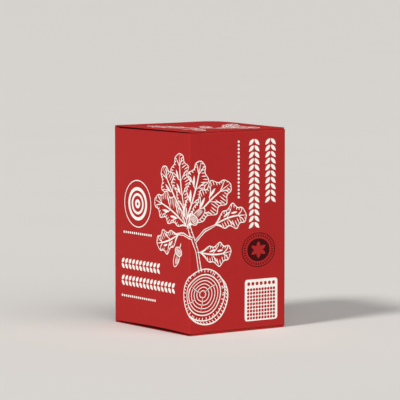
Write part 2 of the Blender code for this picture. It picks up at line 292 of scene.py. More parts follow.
# %% [markdown]
# ## Print
# A print is a list of flat shapes, each with its ink, and a later shape covers an earlier one, just as
# a designer stacks them. Everything below draws such shapes in millimetres on the flat panel: x to the
# right, y up. The designs are generic ones: rings, laurel bands, rows of dots, a rosette, a label with
# a grid of dots, and a woodcut of oak leaves over a log end. A printed image would blur close up, and
# drawn outlines stay sharp at any distance.

# %% Simple shapes
GRAVER_SWELL = 0.7


def circle(x, y, radius, steps=32):
    return [Vector((x + radius * math.cos(a), y + radius * math.sin(a)))
            for a in (2 * math.pi * i / steps for i in range(steps))]


def rounded_bar(x0, y0, x1, y1, radius, steps=4):
    """A rectangle with round corners, counter-clockwise."""
    points = []
    for cx, cy, start in (
        (x1 - radius, y1 - radius, 0), (x0 + radius, y1 - radius, 90),
        (x0 + radius, y0 + radius, 180), (x1 - radius, y0 + radius, 270),
    ):
        for i in range(steps + 1):
            a = math.radians(start + 90 * i / steps)
            points.append(Vector((cx + radius * math.cos(a), cy + radius * math.sin(a))))
    return points


def ring(x, y, radius, width, ink, ground, steps=48):
    """A ring as a disc of its ink with a smaller disc of the ground on it."""
    return [(ink, circle(x, y, radius, steps)), (ground, circle(x, y, radius - width, steps))]


def along_line(points, share):
    """The point at that share of a line's length, and the direction there."""
    lengths = [0.0]
    for a, b in zip(points, points[1:]):
        lengths.append(lengths[-1] + (b - a).length)
    reach = min(max(share, 0.0), 1.0) * lengths[-1]
    i = min(max(bisect_right(lengths, reach) - 1, 0), len(points) - 2)
    step = points[i + 1] - points[i]
    return points[i] + step * ((reach - lengths[i]) / (lengths[i + 1] - lengths[i])), step.normalized()


def stroke(points, width, start=0.0, end=0.0, steps=8):
    """A graver's cut: a line that swells to its width in the middle and narrows towards both ends."""
    left, right = [], []
    for i in range(1, steps):
        share = i / steps
        place, ahead = along_line(points, share)
        side = Vector((-ahead.y, ahead.x))
        swell = math.sin(math.pi * share) ** GRAVER_SWELL
        half = width / 2 * max(swell, start * (1 - share) + end * share)
        left.append(place + side * half)
        right.append(place - side * half)
    return [points[0]] + right + [points[-1]] + left[::-1]


def moved(shapes, dx, dy):
    offset = Vector((dx, dy))
    return [(ink, [point + offset for point in polygon]) for ink, polygon in shapes]


def turned(shapes):
    """Shapes turned a quarter, so that a band that ran right runs down."""
    return [(ink, [Vector((point.y, -point.x)) for point in polygon]) for ink, polygon in shapes]


def unit(angle):
    """The direction at that angle, and the direction to its left."""
    ahead = Vector((math.cos(angle), math.sin(angle)))
    return ahead, Vector((-ahead.y, ahead.x))


print("a cut across ten millimetres has", len(stroke([Vector((0, 0)), Vector((10, 0))], 1.0)), "points")

# %% [markdown]
# A laurel band is the old border of narrow leaves that lean forward in pairs, and it makes a bold line
# on a panel. A row of dots makes a light one. The ring, the seal and the label are built up from
# discs, petals and dots. Each is a function of its size or place, so it can stand on any panel.

# %% Bands, dots and marks
LEAF_PITCH = 6.4
LEAF_WIDTH = 3.8
LEAF_PARTING = 0.1
BAND_HEIGHT = 10.5
PETAL_STEPS = 7
PETAL_ROOT = 0.6
DOT_RADIUS = 1.25
DOT_PITCH = 3.7
DOT_CORNERS = 12


def petal(x, y, angle, length, width, ink):
    """A leaf or petal between two arcs, from its root outwards."""
    ahead, side = unit(angle)
    middle = Vector((x, y))
    rim = [(i / PETAL_STEPS, math.sin(math.pi * i / PETAL_STEPS)) for i in range(1, PETAL_STEPS)]
    right = [middle + ahead * (length * t) - side * (width / 2 * s) for t, s in rim]
    left = [middle + ahead * (length * t) + side * (width / 2 * s) for t, s in reversed(rim)]
    return (ink, [middle + ahead * PETAL_ROOT] + right + [middle + ahead * length] + left)


def laurel_band(length, height=BAND_HEIGHT):
    """Pairs of leaves in a row along +x, at a pitch that stretches a little to fill the length."""
    half = height / 2
    count = round((length - half) / LEAF_PITCH)
    shapes = []
    for i in range(count + 1):
        x = (length - half) * i / count
        for sign in (-1, 1):
            angle = sign * math.pi / 4
            root = half + LEAF_PARTING * sign
            shapes.append(petal(x, root, angle, half * math.sqrt(2), LEAF_WIDTH, WHITE))
    return shapes


def dotted_line(length, ink=WHITE, radius=DOT_RADIUS, pitch=DOT_PITCH):
    """Dots in a row along +x, the first and the last at its ends."""
    run = length - 2 * radius
    count = round(run / pitch)
    return [(ink, circle(radius + run * i / count, radius, radius, DOT_CORNERS)) for i in range(count + 1)]


YEAR_RINGS = ((24.2, 1.0, 64), (17.0, 3.4, 48), (10.8, 2.6, 40))
YEAR_RINGS_HEART = 4.6
YEAR_RINGS_PITH = 1.6


def ring_emblem(x, y):
    """A thin ring round bold year rings, each with its radius, its width and its steps."""
    shapes = []
    for radius, width, steps in YEAR_RINGS:
        shapes += ring(x, y, radius, width, WHITE, RED, steps)
    return shapes + [(WHITE, circle(x, y, YEAR_RINGS_HEART, 28)), (RED, circle(x, y, YEAR_RINGS_PITH, 16))]


SEAL_HEIGHT = 0.83
SEAL_RADIUS = 21.0
SEAL_LINE = 1.0
SEAL_TICKS = 36
SEAL_TICK = (16.0, 18.8)
SEAL_TICK_WIDTH = 1.2
SEAL_DISC = 14.0
ROSETTE_PETALS = 6
ROSETTE_PETAL = (10.6, 5.0)
ROSETTE_HEART = 1.5


def dark_seal(x, y):
    """A dark ring and ticks round a dark disc with a rosette, all a little lower than wide."""
    shapes = ring(x, y, SEAL_RADIUS, SEAL_LINE, DARK_INK_AND_SLIT_SHADE, RED, 64)
    for i in range(SEAL_TICKS):
        ahead, side = unit(2 * math.pi * i / SEAL_TICKS)
        side *= SEAL_TICK_WIDTH / 2
        inner, outer = [Vector((x, y)) + ahead * reach for reach in SEAL_TICK]
        shapes.append((DARK_INK_AND_SLIT_SHADE, [inner - side, outer - side, outer + side, inner + side]))
    shapes.append((DARK_INK_AND_SLIT_SHADE, circle(x, y, SEAL_DISC, 48)))
    for i in range(ROSETTE_PETALS):
        shapes.append(petal(x, y, math.radians(90 + 360 * i / ROSETTE_PETALS), *ROSETTE_PETAL, RED))
    shapes.append((RED, circle(x, y, ROSETTE_HEART, 16)))
    return [(ink, [Vector((p.x, y + (p.y - y) * SEAL_HEIGHT)) for p in polygon]) for ink, polygon in shapes]


GRID_PITCH = 3.6
GRID_DOT = 1.55
GRID_DOT_CORNERS = 14
LABEL_CORNER = 3.0
LABEL_BORDER = 1.0
HEADING_ROOM = 8.6
HEADING_RISE = 2.2
HEADING_DOT = 1.9
HEADING_PITCH = 5.2


def dot_panel(x0, y0, x1, y1):
    """A white label with a row of large red dots over a plain grid of small ones."""
    heading = y1 - HEADING_ROOM
    shapes = [(WHITE, rounded_bar(x0, y0, x1, y1, LABEL_CORNER, 8))]
    row = dotted_line(x1 - x0 - 2 * LABEL_CORNER, RED, HEADING_DOT, HEADING_PITCH)
    shapes += moved(row, x0 + LABEL_CORNER, heading + HEADING_RISE)
    columns = int((x1 - x0 - 2 * LABEL_BORDER) / GRID_PITCH)
    rows = int((heading - y0 - LABEL_BORDER) / GRID_PITCH)
    left = (x0 + x1 - (columns - 1) * GRID_PITCH) / 2
    low = (y0 + LABEL_BORDER + heading - (rows - 1) * GRID_PITCH) / 2
    for i in range(columns):
        for j in range(rows):
            place = (left + i * GRID_PITCH, low + j * GRID_PITCH)
            shapes.append((RED, circle(*place, GRID_DOT, GRID_DOT_CORNERS)))
    return shapes


print("shapes in a ring, a seal and a label:", len(ring_emblem(0, 0)), len(dark_seal(0, 0)),
      len(dot_panel(0, 0, 40, 40)))


# %% [markdown]
# The picture is cut like a woodcut: a white outline, red inside, and white tapered cuts that follow
# the form. A leaf is an outline whose half width swells and shrinks with its lobes. A smaller copy of
# it in red lies on the white one, which leaves an outline, and its veins and cuts lie on that. Each
# cut's depth is drawn from one seeded generator, so no two are alike and every run gives the same.

# %% Oak leaf
OUTLINE = 1.15
LEAF_STEPS = 54
LOBE_DEPTH = 0.30
LOBE_LEAN = 0.22
MIDRIB_WIDTH = 1.7
VEIN_WIDTH = 1.1
CUT_WIDTH = 0.95
CUT_SPACING = 3.0
CUT_LEAN = 0.30
SHADED_SIDE, LIT_SIDE = (-1, 0.62), (1, 0.30)


def oak_leaf(base, tip, half_width, rng, bend=0.0, lobes=4):
    """A lobed leaf from its base to its tip, with a midrib, a vein to each lobe and shading cuts."""
    base, tip = Vector(base), Vector(tip)
    axis = tip - base
    length = axis.length
    ahead = axis / length
    side = Vector((-ahead.y, ahead.x))

    def rib(t):
        return base + axis * t + side * (bend * math.sin(math.pi * t))

    def half(t):
        body = math.sin(math.pi * t ** 1.18) ** 0.72 if 0 < t < 1 else 0.0
        lobe = 1 - LOBE_DEPTH * (0.5 + 0.5 * math.cos(2 * math.pi * lobes * (t - 0.06)))
        return half_width * body * lobe

    def rim(t, sign, inset=0.0):
        reach = max(half(t) - inset, 0.0)
        return rib(t) + side * (sign * reach) + ahead * (LOBE_LEAN * reach)

    def contour(first, last, inset):
        shares = [first + (last - first) * i / LEAF_STEPS for i in range(LEAF_STEPS + 1)]
        right = [rim(t, -1, inset) for t in shares]
        left = [rim(t, 1, inset) for t in reversed(shares)]
        return right + left[1:-1] if inset == 0 else right + left

    shapes = [
        (WHITE, [rib(0.0)] + contour(0.02, 0.995, 0.0)),
        (RED, contour(0.055, 1 - 1.6 * OUTLINE / length, OUTLINE)),
    ]
    petiole = base - ahead * (length * 0.10)
    shapes.append((WHITE, stroke([petiole] + [rib(t / 8) for t in range(9)], MIDRIB_WIDTH, 0.6, 0.25, 14)))
    for k in range(lobes):
        centre = (k + 0.56) / lobes
        for sign in (-1, 1):
            root = rib(max(centre - 0.13, 0.04))
            end = rim(min(centre + 0.015, 0.97), sign, half(centre) * 0.20)
            elbow = root.lerp(end, 0.55) + ahead * 0.8
            shapes.append((WHITE, stroke([root, elbow, end], VEIN_WIDTH, 0.5, 0.1)))
    for first in (0.30, 0.54):
        start = rib(first) + side * (half(first) * 0.26)
        end = rib(first + 0.19) + side * (half(first + 0.19) * 0.46)
        shapes.append((WHITE, stroke([start, start.lerp(end, 0.6), end], 0.16 * half_width, 0.3, 0.1)))
    cuts = int(length / CUT_SPACING)
    for sign, deep in (SHADED_SIDE, LIT_SIDE):
        for i in range(2, cuts):
            t = i / cuts
            reach = half(t)
            if reach < CUT_SPACING:
                continue
            outer = rim(t, sign, OUTLINE * 0.6)
            share = deep * (0.75 + 0.5 * rng.random())
            inner = outer - side * (sign * reach * share) - ahead * (CUT_LEAN * reach * share)
            shapes.append((WHITE, stroke([outer, outer.lerp(inner, 0.5), inner], CUT_WIDTH, 0.9, 0.0, 5)))
    return shapes


trial_leaf = oak_leaf((0, 0), (60, 0), 15.0, random.Random(0))
print("a leaf of 60 mm has", len(trial_leaf), "shapes")

# %% [markdown]
# The log end is year rings: each is a nearly round line with its own small wobble, drawn as a white
# disc with a red one on it. Drying checks cross the rings, and short cuts make the bark. A strip of the
# log's side shows below and to the right, as a second disc that is moved that way.

# %% Log end
LOG_SIDE = Vector((3.6, -4.0))
LOG_SIDE_INNER = Vector((3.4, -3.8))
LOG_WOBBLE = 0.018
LOG_PHASE = 0.4
SIDE_CUTS = 22
BARK_CUTS = 42
BARK_WIDTH = 5.4
RING_COUNT = 6
RING_DRIFT = Vector((-0.22, 0.18))
DRYING_CHECKS = ((28, 0.05, 0.9), (147, 0.1, 0.72), (262, 0.08, 0.82), (205, 0.45, 0.95))


def wobbly(middle, radius, wobble, phase, steps=64):
    """A nearly round outline, the same at each phase."""
    points = []
    for i in range(steps):
        a = 2 * math.pi * i / steps
        swell = math.sin(2 * a + phase) + 0.6 * math.sin(3 * a - 2 * phase) + 0.4 * math.sin(5 * a + phase)
        points.append(middle + unit(a)[0] * (radius * (1 + wobble * swell)))
    return points


def log_end(x, y, radius, rng):
    """The sawn end of a log with its bark, and a little of the log's side below it."""
    middle = Vector((x, y))
    shapes = [(WHITE, wobbly(middle + LOG_SIDE, radius, LOG_WOBBLE, LOG_PHASE)),
              (RED, wobbly(middle + LOG_SIDE_INNER, radius - 1.1, LOG_WOBBLE, LOG_PHASE))]
    for i in range(SIDE_CUTS):
        ahead = unit(math.radians(-150 + 170 * i / (SIDE_CUTS - 1)))[0]
        outer = middle + LOG_SIDE + ahead * (radius - 0.4)
        shapes.append((WHITE, stroke([outer, outer - Vector((3.2, -3.4))], 0.9, 0.8, 0.2, 5)))
    shapes += [(WHITE, wobbly(middle, radius, LOG_WOBBLE, LOG_PHASE)),
               (RED, wobbly(middle, radius - 1.2, LOG_WOBBLE, LOG_PHASE))]
    for i in range(BARK_CUTS):
        ahead = unit(2 * math.pi * (i + 0.6 * rng.random()) / BARK_CUTS)[0]
        depth = 2.2 + 1.6 * rng.random()
        outer = middle + ahead * (radius - 0.9)
        shapes.append((WHITE, stroke([outer, outer - ahead * depth], 1.0, 0.9, 0.1, 5)))
    inner = radius - BARK_WIDTH
    for i in range(RING_COUNT):
        r = inner * (1 - i / RING_COUNT) ** 0.92
        width = 0.85 if i else 1.2
        phase = LOG_PHASE + 0.13 * i
        shapes.append((WHITE, wobbly(middle + RING_DRIFT * i, r, 0.02, phase)))
        shapes.append((RED, wobbly(middle + RING_DRIFT * i, max(r - width, 0.5), 0.02, phase)))
    heart = middle + RING_DRIFT * RING_COUNT
    for angle, start, end in DRYING_CHECKS:
        ahead, side = unit(math.radians(angle))
        first, last = heart + ahead * inner * start, heart + ahead * inner * end
        check = [first, first.lerp(last, 0.5) + side * 1.1, last]
        shapes.append((RED, stroke(check, 2.0, 0.2, 0.9, 7)))
        shapes.append((WHITE, stroke(check, 0.8, 0.1, 0.8, 7)))
    return shapes


print("a log end has", len(log_end(0, 0, 26.5, random.Random(0))), "shapes")

# %% [markdown]
# Acorns and twigs are made of the same two things, an outline and cuts. An acorn is a nut in a cup,
# each an oval with a smaller red one in it, and crossed cuts give the cup its scales.

# %% Acorn and twig
OVAL_STEPS = 28
NUT_CUTS = 4
TWIG_STEPS = 24
TWIG_CUTS = 12


def acorn(x, y, size, angle):
    """An acorn that points along the angle: a nut in a cup with crossed cuts."""
    ahead, side = unit(angle)
    middle = Vector((x, y))
    turns = [2 * math.pi * i / OVAL_STEPS for i in range(OVAL_STEPS)]

    def place(a, b):
        return middle + ahead * (a * size) + side * (b * size)

    def cut(points, width, start=0.0, end=0.0):
        return (WHITE, stroke([place(a, b) for a, b in points], width, start, end))

    def nut(inset):
        return [place(0.95 * math.cos(t) * (1 - inset) + 0.35 + 0.1 * math.cos(t) ** 3,
                      0.52 * math.sin(t) * (1 - 1.6 * inset)) for t in turns]

    def cup(inset):
        return [place(-0.42 + 0.50 * math.cos(t) * (1 - inset), 0.66 * math.sin(t) * (1 - inset))
                for t in turns]

    shapes = [(WHITE, nut(0.0)), (RED, nut(0.11))]
    for i in range(NUT_CUTS):
        b = 0.34 - 0.14 * i
        shapes.append(cut([(0.1, b), (0.6, b * 1.05), (1.05, b * 0.5)], 0.7))
    shapes += [(WHITE, cup(0.0)), (RED, cup(0.17))]
    for i in range(-2, 3):
        a, b = 0.14 * i - 0.42, 0.20 * i
        shapes.append(cut([(-0.78, b * 0.7), (-0.42, b * 1.15), (-0.04, b)], 0.75))
        shapes.append(cut([(a, -0.46), (a + 0.1, 0.0), (a, 0.46)], 0.6))
    shapes.append(cut([(-0.85, 0.0), (-1.15, 0.05), (-1.45, 0.0)], 1.4, 0.8, 0.6))
    return shapes


def twig(points, width):
    """A twig with a red heart and a few cuts of bark along one side."""
    points = [Vector(point) for point in points]
    shapes = [(WHITE, stroke(points, width, 1.0, 0.35, TWIG_STEPS)),
              (RED, stroke(points, width - 1.8, 1.0, 0.0, TWIG_STEPS))]
    for i in range(TWIG_CUTS):
        place, ahead = along_line(points, 0.05 + 0.07 * i)
        side = Vector((-ahead.y, ahead.x))
        start = place - side * (width * 0.36)
        shapes.append((WHITE, stroke([start, start + ahead * 2.0 + side * 0.9], 0.7, 0.6, 0.1, 4)))
    return shapes


print("shapes in an acorn and a twig:", len(acorn(0, 0, 9.5, 0.0)), len(twig([(0, 0), (0, 40)], 4.0)))

# %% [markdown]
# The whole picture is a branch of eight leaves that grows up from behind the log. It runs over the
# corner between the front and the right side, so it is drawn about that corner at x = 0, with y up
# from the floor. The last leaf, one acorn and the log lie over the rest.

# %% The whole picture
PICTURE_SEED = 12
BRANCH = [
    ([(13, 62), (9, 84), (1, 104), (-5, 121), (-8, 136)], 4.4),
    ([(6, 93), (18, 104), (34, 110)], 3.2),
    ([(4, 97), (-10, 101), (-24, 100)], 3.2),
]
SPREAD_LEAVES = [
    ((-4, 116), (14, 174), 14.5, -2.0, 4),
    ((-7, 118), (-46, 166), 15.0, 2.0, 4),
    ((0, 110), (50, 150), 17.0, 3.0, 4),
    ((-4, 109), (-60, 132), 16.0, -3.0, 4),
    ((30, 109), (70, 117), 13.5, 3.0, 3),
    ((-18, 100), (-56, 88), 13.0, 2.0, 3),
    ((12, 83), (51, 82), 12.5, -3.0, 3),
]
TOP_LEAVES = [((-8, 124), (-17, 181), 17.0, 2.0, 4)]
HANGING_ACORNS = [(-20, 79, 9.5, -115)]
TOP_ACORNS = [(8, 118, 9.5, 38)]
LOG = (17, 40, 26.5)


def spray(twigs, leaves, acorns, rng):
    """Twigs, each by its points and width; leaves, each by its base, tip, half width, bend and number
    of lobes; and acorns, each by its place, size and angle in degrees."""
    shapes = []
    for points, width in twigs:
        shapes += twig(points, width)
    for base, tip, half_width, arch, lobes in leaves:
        shapes += oak_leaf(base, tip, half_width, rng, arch, lobes)
    for x, y, size, angle in acorns:
        shapes += acorn(x, y, size, math.radians(angle))
    return shapes


picture_rng = random.Random(PICTURE_SEED)
picture = spray(BRANCH, SPREAD_LEAVES, HANGING_ACORNS, picture_rng)
picture += spray([], TOP_LEAVES, TOP_ACORNS, picture_rng)
picture += log_end(*LOG, picture_rng)
print("woodcut:", len(picture), "shapes,", sum(len(polygon) for _, polygon in picture), "points")

# %% [markdown]
# ## Board
# A folded board in section is a line of stations, each with a point on the outer face and one on the
# inner face. The distance along the outer face is the place on the flat blank, so one function takes
# a point of the blank, at any depth in the board, to its place after folding. A bend is an arc of a few
# stations, because board folds round a small radius and never to a knife edge.

# %% Folding
ARC_STEPS = 6


def fold(stations):
    """Returns a function from (distance along the outer face, depth) to the folded section, and the
    distance of each station."""
    lengths = [0.0]
    for (before, _), (after, _) in zip(stations, stations[1:]):
        lengths.append(lengths[-1] + (after - before).length)

    def place(s, depth):
        i = min(max(bisect_right(lengths, s) - 1, 0), len(stations) - 2)
        share = (s - lengths[i]) / (lengths[i + 1] - lengths[i])
        outer = stations[i][0].lerp(stations[i + 1][0], share)
        inner = stations[i][1].lerp(stations[i + 1][1], share)
        return outer.lerp(inner, depth / BOARD)

    return place, lengths


def bend(centre, outer_radius, inner_radius, start, end):
    """The stations round a bend, from one angle to another in degrees."""
    stations = []
    for i in range(ARC_STEPS + 1):
        ahead = unit(math.radians(start + (end - start) * i / ARC_STEPS))[0]
        middle = Vector(centre)
        stations.append((middle + ahead * outer_radius, middle + ahead * inner_radius))
    return stations


quarter = fold(bend((0.0, 0.0), BOARD, 0.0, 0, 90))[1][-1]
print("outer length of a tight right-angle bend:", round(quarter, 2), "mm")

# %% [markdown]
# The flat sheet is cut into triangles by a constrained Delaunay triangulation: its outline, its fold
# lines and every printed shape become edges, and each triangle knows the shapes that it lies in. So
# the print is crisp and flush, with no relief where there is only colour. The inner liner is a second,
# plainer sheet with the same outline and folds.

# %% Triangles of a printed sheet
KEEP_ALL = 0
SAME_POINT = 1e-5


def inside(polygon, point):
    """Whether a point lies in a polygon, by counting the edges to one side of it."""
    hits = False
    for a, b in zip(polygon, polygon[1:] + polygon[:1]):
        if (a.y > point.y) != (b.y > point.y):
            if point.x < a.x + (point.y - a.y) * (b.x - a.x) / (b.y - a.y):
                hits = not hits
    return hits


def loose_points(outline, spacing):
    """A grid of points in the sheet, which lets it bow a little."""
    low = Vector((min(p.x for p in outline), min(p.y for p in outline)))
    high = Vector((max(p.x for p in outline), max(p.y for p in outline)))
    columns = max(int((high.x - low.x) / spacing), 1)
    rows = max(int((high.y - low.y) / spacing), 1)
    across = [low.x + (high.x - low.x) * (i + 0.5) / columns for i in range(columns)]
    up = [low.y + (high.y - low.y) * (j + 0.5) / rows for j in range(rows)]
    return [Vector((x, y)) for x in across for y in up if inside(outline, Vector((x, y)))]


def triangulate(outline, lines, spots, prints):
    """The sheet's points, its triangles and the ink of each."""
    points, edges, faces = [], [], []
    for polygon in [outline] + [polygon for _, polygon in prints]:
        faces.append(list(range(len(points), len(points) + len(polygon))))
        points += polygon
    for a, b in lines:
        edges.append((len(points), len(points) + 1))
        points += [a, b]
    points += spots
    cut = geometry.delaunay_2d_cdt(points, edges, faces, KEEP_ALL, SAME_POINT)
    found, triangles, owners = cut[0], cut[2], cut[5]
    inks = [RED] + [ink for ink, _ in prints]
    kept = [(tuple(t), inks[max(o)]) for t, o in zip(triangles, owners) if 0 in o]
    return found, kept


def rim_loop(triangles):
    """The points round the sheet's edge, in order."""
    steps = set()
    for corner, _ in triangles:
        for a, b in zip(corner, corner[1:] + corner[:1]):
            steps.add((a, b))
    after = {a: b for a, b in steps if (b, a) not in steps}
    loop = [min(after)]
    while after[loop[-1]] != loop[0]:
        loop.append(after[loop[-1]])
    return loop


square = triangulate([Vector(p) for p in ((0, 0), (50, 0), (50, 50), (0, 50))], [], [], ring_emblem(25, 25))
print("a 50 mm square with the ring printed on it has", len(square[1]), "triangles")

# %% [markdown]
# Rows of faces round the rim close the two liners. A rim has nine rows from the outer face to the inner
# one, and each row has its depth in the board and how far it lies inside the sheet's edge. The plain
# cut is straight down. The open cut goes in between the two liners. The bead is a round nose about the
# hinge line over a pressed groove, and the socket is the hollow that turns on it.

# %% Rims
RIM_STEPS = 8
LINER = 0.25
FLUTE_OPEN = 1.6
BEAD_RADIUS = 0.74
BEAD_GROOVE = (0.5, -0.15)
BEAD_RED_ROWS = 5
SOCKET_RADIUS = 0.80
HINGE_RISE = round(HINGE.z - walls_high.z, 3)
HALF = BOARD / 2
SOCKET_SET = math.sqrt(SOCKET_RADIUS ** 2 - HALF ** 2)
FACE, BACK_FACE = (0.0, 0.0), (BOARD, 0.0)


def around(angle):
    """A row on the bead: depth, and distance inside the edge, at that angle from the outer face."""
    a = math.radians(angle)
    return (HALF - BEAD_RADIUS * math.cos(a), -HINGE_RISE - BEAD_RADIUS * math.sin(a))


def socket_row(step):
    depth = HALF - HALF * math.cos(math.pi * step / RIM_STEPS)
    return (depth, math.sqrt(SOCKET_RADIUS ** 2 - (HALF - depth) ** 2) - SOCKET_SET)


RIMS = {
    "cut": [(BOARD * i / RIM_STEPS, 0.0) for i in range(RIM_STEPS + 1)],
    "open": [FACE, (LINER / 2, 0.0), (LINER, 0.0), (LINER, FLUTE_OPEN), (HALF, FLUTE_OPEN),
             (BOARD - LINER, FLUTE_OPEN), (BOARD - LINER, 0.0), (BOARD - LINER / 2, 0.0), BACK_FACE],
    "bead": [FACE, BEAD_GROOVE, *(around(angle) for angle in (-50, 0, 45, 90, 135, 180)), BACK_FACE],
    "socket": [socket_row(i) for i in range(RIM_STEPS + 1)],
}
print("rows of each rim:", {kind: len(rows) for kind, rows in RIMS.items()})

# %% [markdown]
# A sheet is put together in a bmesh: the printed triangles, the inner ones turned over, and the rim's
# rows between them. Its UV map is the flat blank in millimetres, turned so that its first coordinate
# always runs across the flutes, which is what the washboard reads.

# %% Printed sheet
SHARP_BEND = math.radians(52)
PAST_EDGE = 10.0


def finished(name, body, materials):
    """Turns a bmesh into a smooth object with its normals outwards, and counts its faces."""
    bmesh.ops.recalc_face_normals(body, faces=body.faces)
    open_edges = sum(1 for edge in body.edges if not edge.is_manifold)
    mesh = bpy.data.meshes.new(name)
    body.to_mesh(mesh)
    body.free()
    for material in materials:
        mesh.materials.append(material)
    mesh.shade_smooth()
    print(f"{name}: {len(mesh.polygons)} faces, {open_edges} open edges")
    return put(name, mesh)


def board_sheet(name, place, outline, folds, prints, rim_kind, spacing, flutes_along_y):
    """Makes a closed, printed board. place takes (x, y, depth) of the blank to millimetres in space."""
    low, high = (-PAST_EDGE, 2 * HEIGHT) if flutes_along_y else (-HEIGHT, HEIGHT)
    lines = [(Vector((x, low)), Vector((x, high))) for x in folds]
    spots = loose_points(outline, spacing)
    outer, outer_triangles = triangulate(outline, lines, spots, prints)
    inner, inner_triangles = triangulate(outline, lines, spots, [])
    body = bmesh.new()
    flat = []

    def add_vertex(x, y, depth):
        flat.append((x, y))
        return body.verts.new(place(x, y, depth) * MM)

    top = {i: add_vertex(p.x, p.y, 0.0) for i, p in enumerate(outer)}
    bottom = {i: add_vertex(p.x, p.y, BOARD) for i, p in enumerate(inner)}
    used = set()

    def add_face(vertices, ink):
        face = body.faces.new(vertices)
        face.material_index = ink
        used.update(vertices)

    for corner, ink in outer_triangles:
        add_face([top[i] for i in corner], ink)
    for corner, _ in inner_triangles:
        add_face([bottom[i] for i in reversed(corner)], INSIDE)

    loop = rim_loop(outer_triangles)
    under = {(round(p.x, 3), round(p.y, 3)): i for i, p in enumerate(inner)}
    rows, kinds = [], []
    for k, i in enumerate(loop):
        here, back, on = outer[i], outer[loop[k - 1]], outer[loop[(k + 1) % len(loop)]]
        a, b = (here - back).normalized(), (on - here).normalized()
        inward = Vector((-a.y - b.y, a.x + b.x)).normalized()
        inward /= max(inward.dot(Vector((-a.y, a.x))), 0.5)
        kind = rim_kind(here.x, here.y)
        column = [top[i]]
        for depth, level in RIMS[kind][1:-1]:
            column.append(add_vertex(here.x + inward.x * level, here.y + inward.y * level, depth))
        column.append(bottom[under[(round(here.x, 3), round(here.y, 3))]])
        rows.append(column)
        kinds.append(kind)
    for k, column in enumerate(rows):
        following = rows[(k + 1) % len(rows)]
        bead = kinds[k] == "bead" and kinds[(k + 1) % len(rows)] == "bead"
        for j in range(RIM_STEPS):
            ink = (RED if j < BEAD_RED_ROWS else INSIDE) if bead else EDGE
            add_face([column[j + 1], following[j + 1], following[j], column[j]], ink)

    layer = body.loops.layers.uv.new(BLANK_MAP)
    body.verts.index_update()
    for face in body.faces:
        for corner in face.loops:
            x, y = flat[corner.vert.index]
            corner[layer].uv = (x, y) if flutes_along_y else (y, x)
    bmesh.ops.delete(body, geom=[vert for vert in body.verts if vert not in used], context="VERTS")
    obj = finished(name, body, BOARD_MATERIALS)
    obj.data.set_sharp_from_angle(angle=SHARP_BEND)
    return obj


# %% [markdown]
# ## Walls
# The four walls and the glue flap are one strip, folded at four corners. It starts at the raw edge of
# the left wall, runs round the front, and ends in the flap that is glued inside the left wall. Four
# separate plates would show a seam at each corner, and a real carton has only the glued one.

# %% The strip of walls
CORNER_RADIUS = 1.6
GLUE_GAP = 0.05
GLUE_FLAP_WIDTH = 16.0
LEFT_WALL_REAR = BACK - 2.0

near = RIGHT - CORNER_RADIUS
rear_y = BACK - CORNER_RADIUS
front_y = FRONT + CORNER_RADIUS
glued_x = -RIGHT + BOARD + GLUE_GAP
glued_y = BACK - BOARD - GLUE_FLAP_WIDTH
strip = [(Vector((-RIGHT, LEFT_WALL_REAR)), Vector((-RIGHT + BOARD, LEFT_WALL_REAR)))]
strip += bend((-near, front_y), CORNER_RADIUS, CORNER_RADIUS - BOARD, 180, 270)
strip += bend((near, front_y), CORNER_RADIUS, CORNER_RADIUS - BOARD, 270, 360)
strip += bend((near, rear_y), CORNER_RADIUS, CORNER_RADIUS - BOARD, 0, 90)
strip += bend((glued_x + CORNER_RADIUS, rear_y), CORNER_RADIUS, CORNER_RADIUS - BOARD, 90, 180)
strip += [(Vector((glued_x, glued_y)), Vector((glued_x + BOARD, glued_y)))]
round_the_walls, strip_at = fold(strip)

corner_at = [strip_at[i:i + ARC_STEPS + 1] for i in range(1, len(strip_at) - 1, ARC_STEPS + 1)]
LEFT_END, FRONT_START = corner_at[0][0], corner_at[0][-1]
FRONT_END, SIDE_START = corner_at[1][0], corner_at[1][-1]
SIDE_END, BACK_START = corner_at[2][0], corner_at[2][-1]
BACK_END, FLAP_START = corner_at[3][0], corner_at[3][-1]
STRIP_END = strip_at[-1]
FRONT_CORNER = corner_at[1][ARC_STEPS // 2]
print("strip length", round(STRIP_END, 1), "mm, front", round(FRONT_END - FRONT_START, 1), "mm wide")

# %% [markdown]
# No panel stays flat: each bows out by a quarter of a millimetre where the bag presses on it and the
# board relaxed, which breaks up its highlight. The bow is nothing at the panel's edges, and a slow wave
# makes each panel's a little different.

# %% Places on the walls
WALL_BOW = 0.22
BOW_MARGIN = 4.0
BOW_WAVE = (17, 29)
BOW_VARIES = 0.5
PANELS = ((0.0, LEFT_END), (FRONT_START, FRONT_END), (SIDE_START, SIDE_END), (BACK_START, BACK_END))


def on_left(y):
    """The place on the strip of a point of the left wall, by its y."""
    return LEFT_WALL_REAR - y


def on_right(y):
    """The place on the strip of a point of the right wall, by its y."""
    return SIDE_START + y - front_y


def wall_bow(s, z):
    """How far a panel bows out at a point of the strip, in millimetres."""
    for first, last in PANELS:
        if first < s < last:
            across = math.sin(math.pi * (s - first) / (last - first))
            up = math.sin(math.pi * min(max((z - BOW_MARGIN) / (HEIGHT - 2 * BOW_MARGIN), 0.0), 1.0))
            wave = math.sin(s / BOW_WAVE[0] + z / BOW_WAVE[1])
            return WALL_BOW * across * up * (1 + BOW_VARIES * wave)
    return 0.0


def place_wall(s, z, depth):
    point = round_the_walls(s, depth - wall_bow(s, z))
    return Vector((point.x, point.y, z))


print("bow in the middle of the front:", round(wall_bow((FRONT_START + FRONT_END) / 2, HEIGHT / 2), 2), "mm")

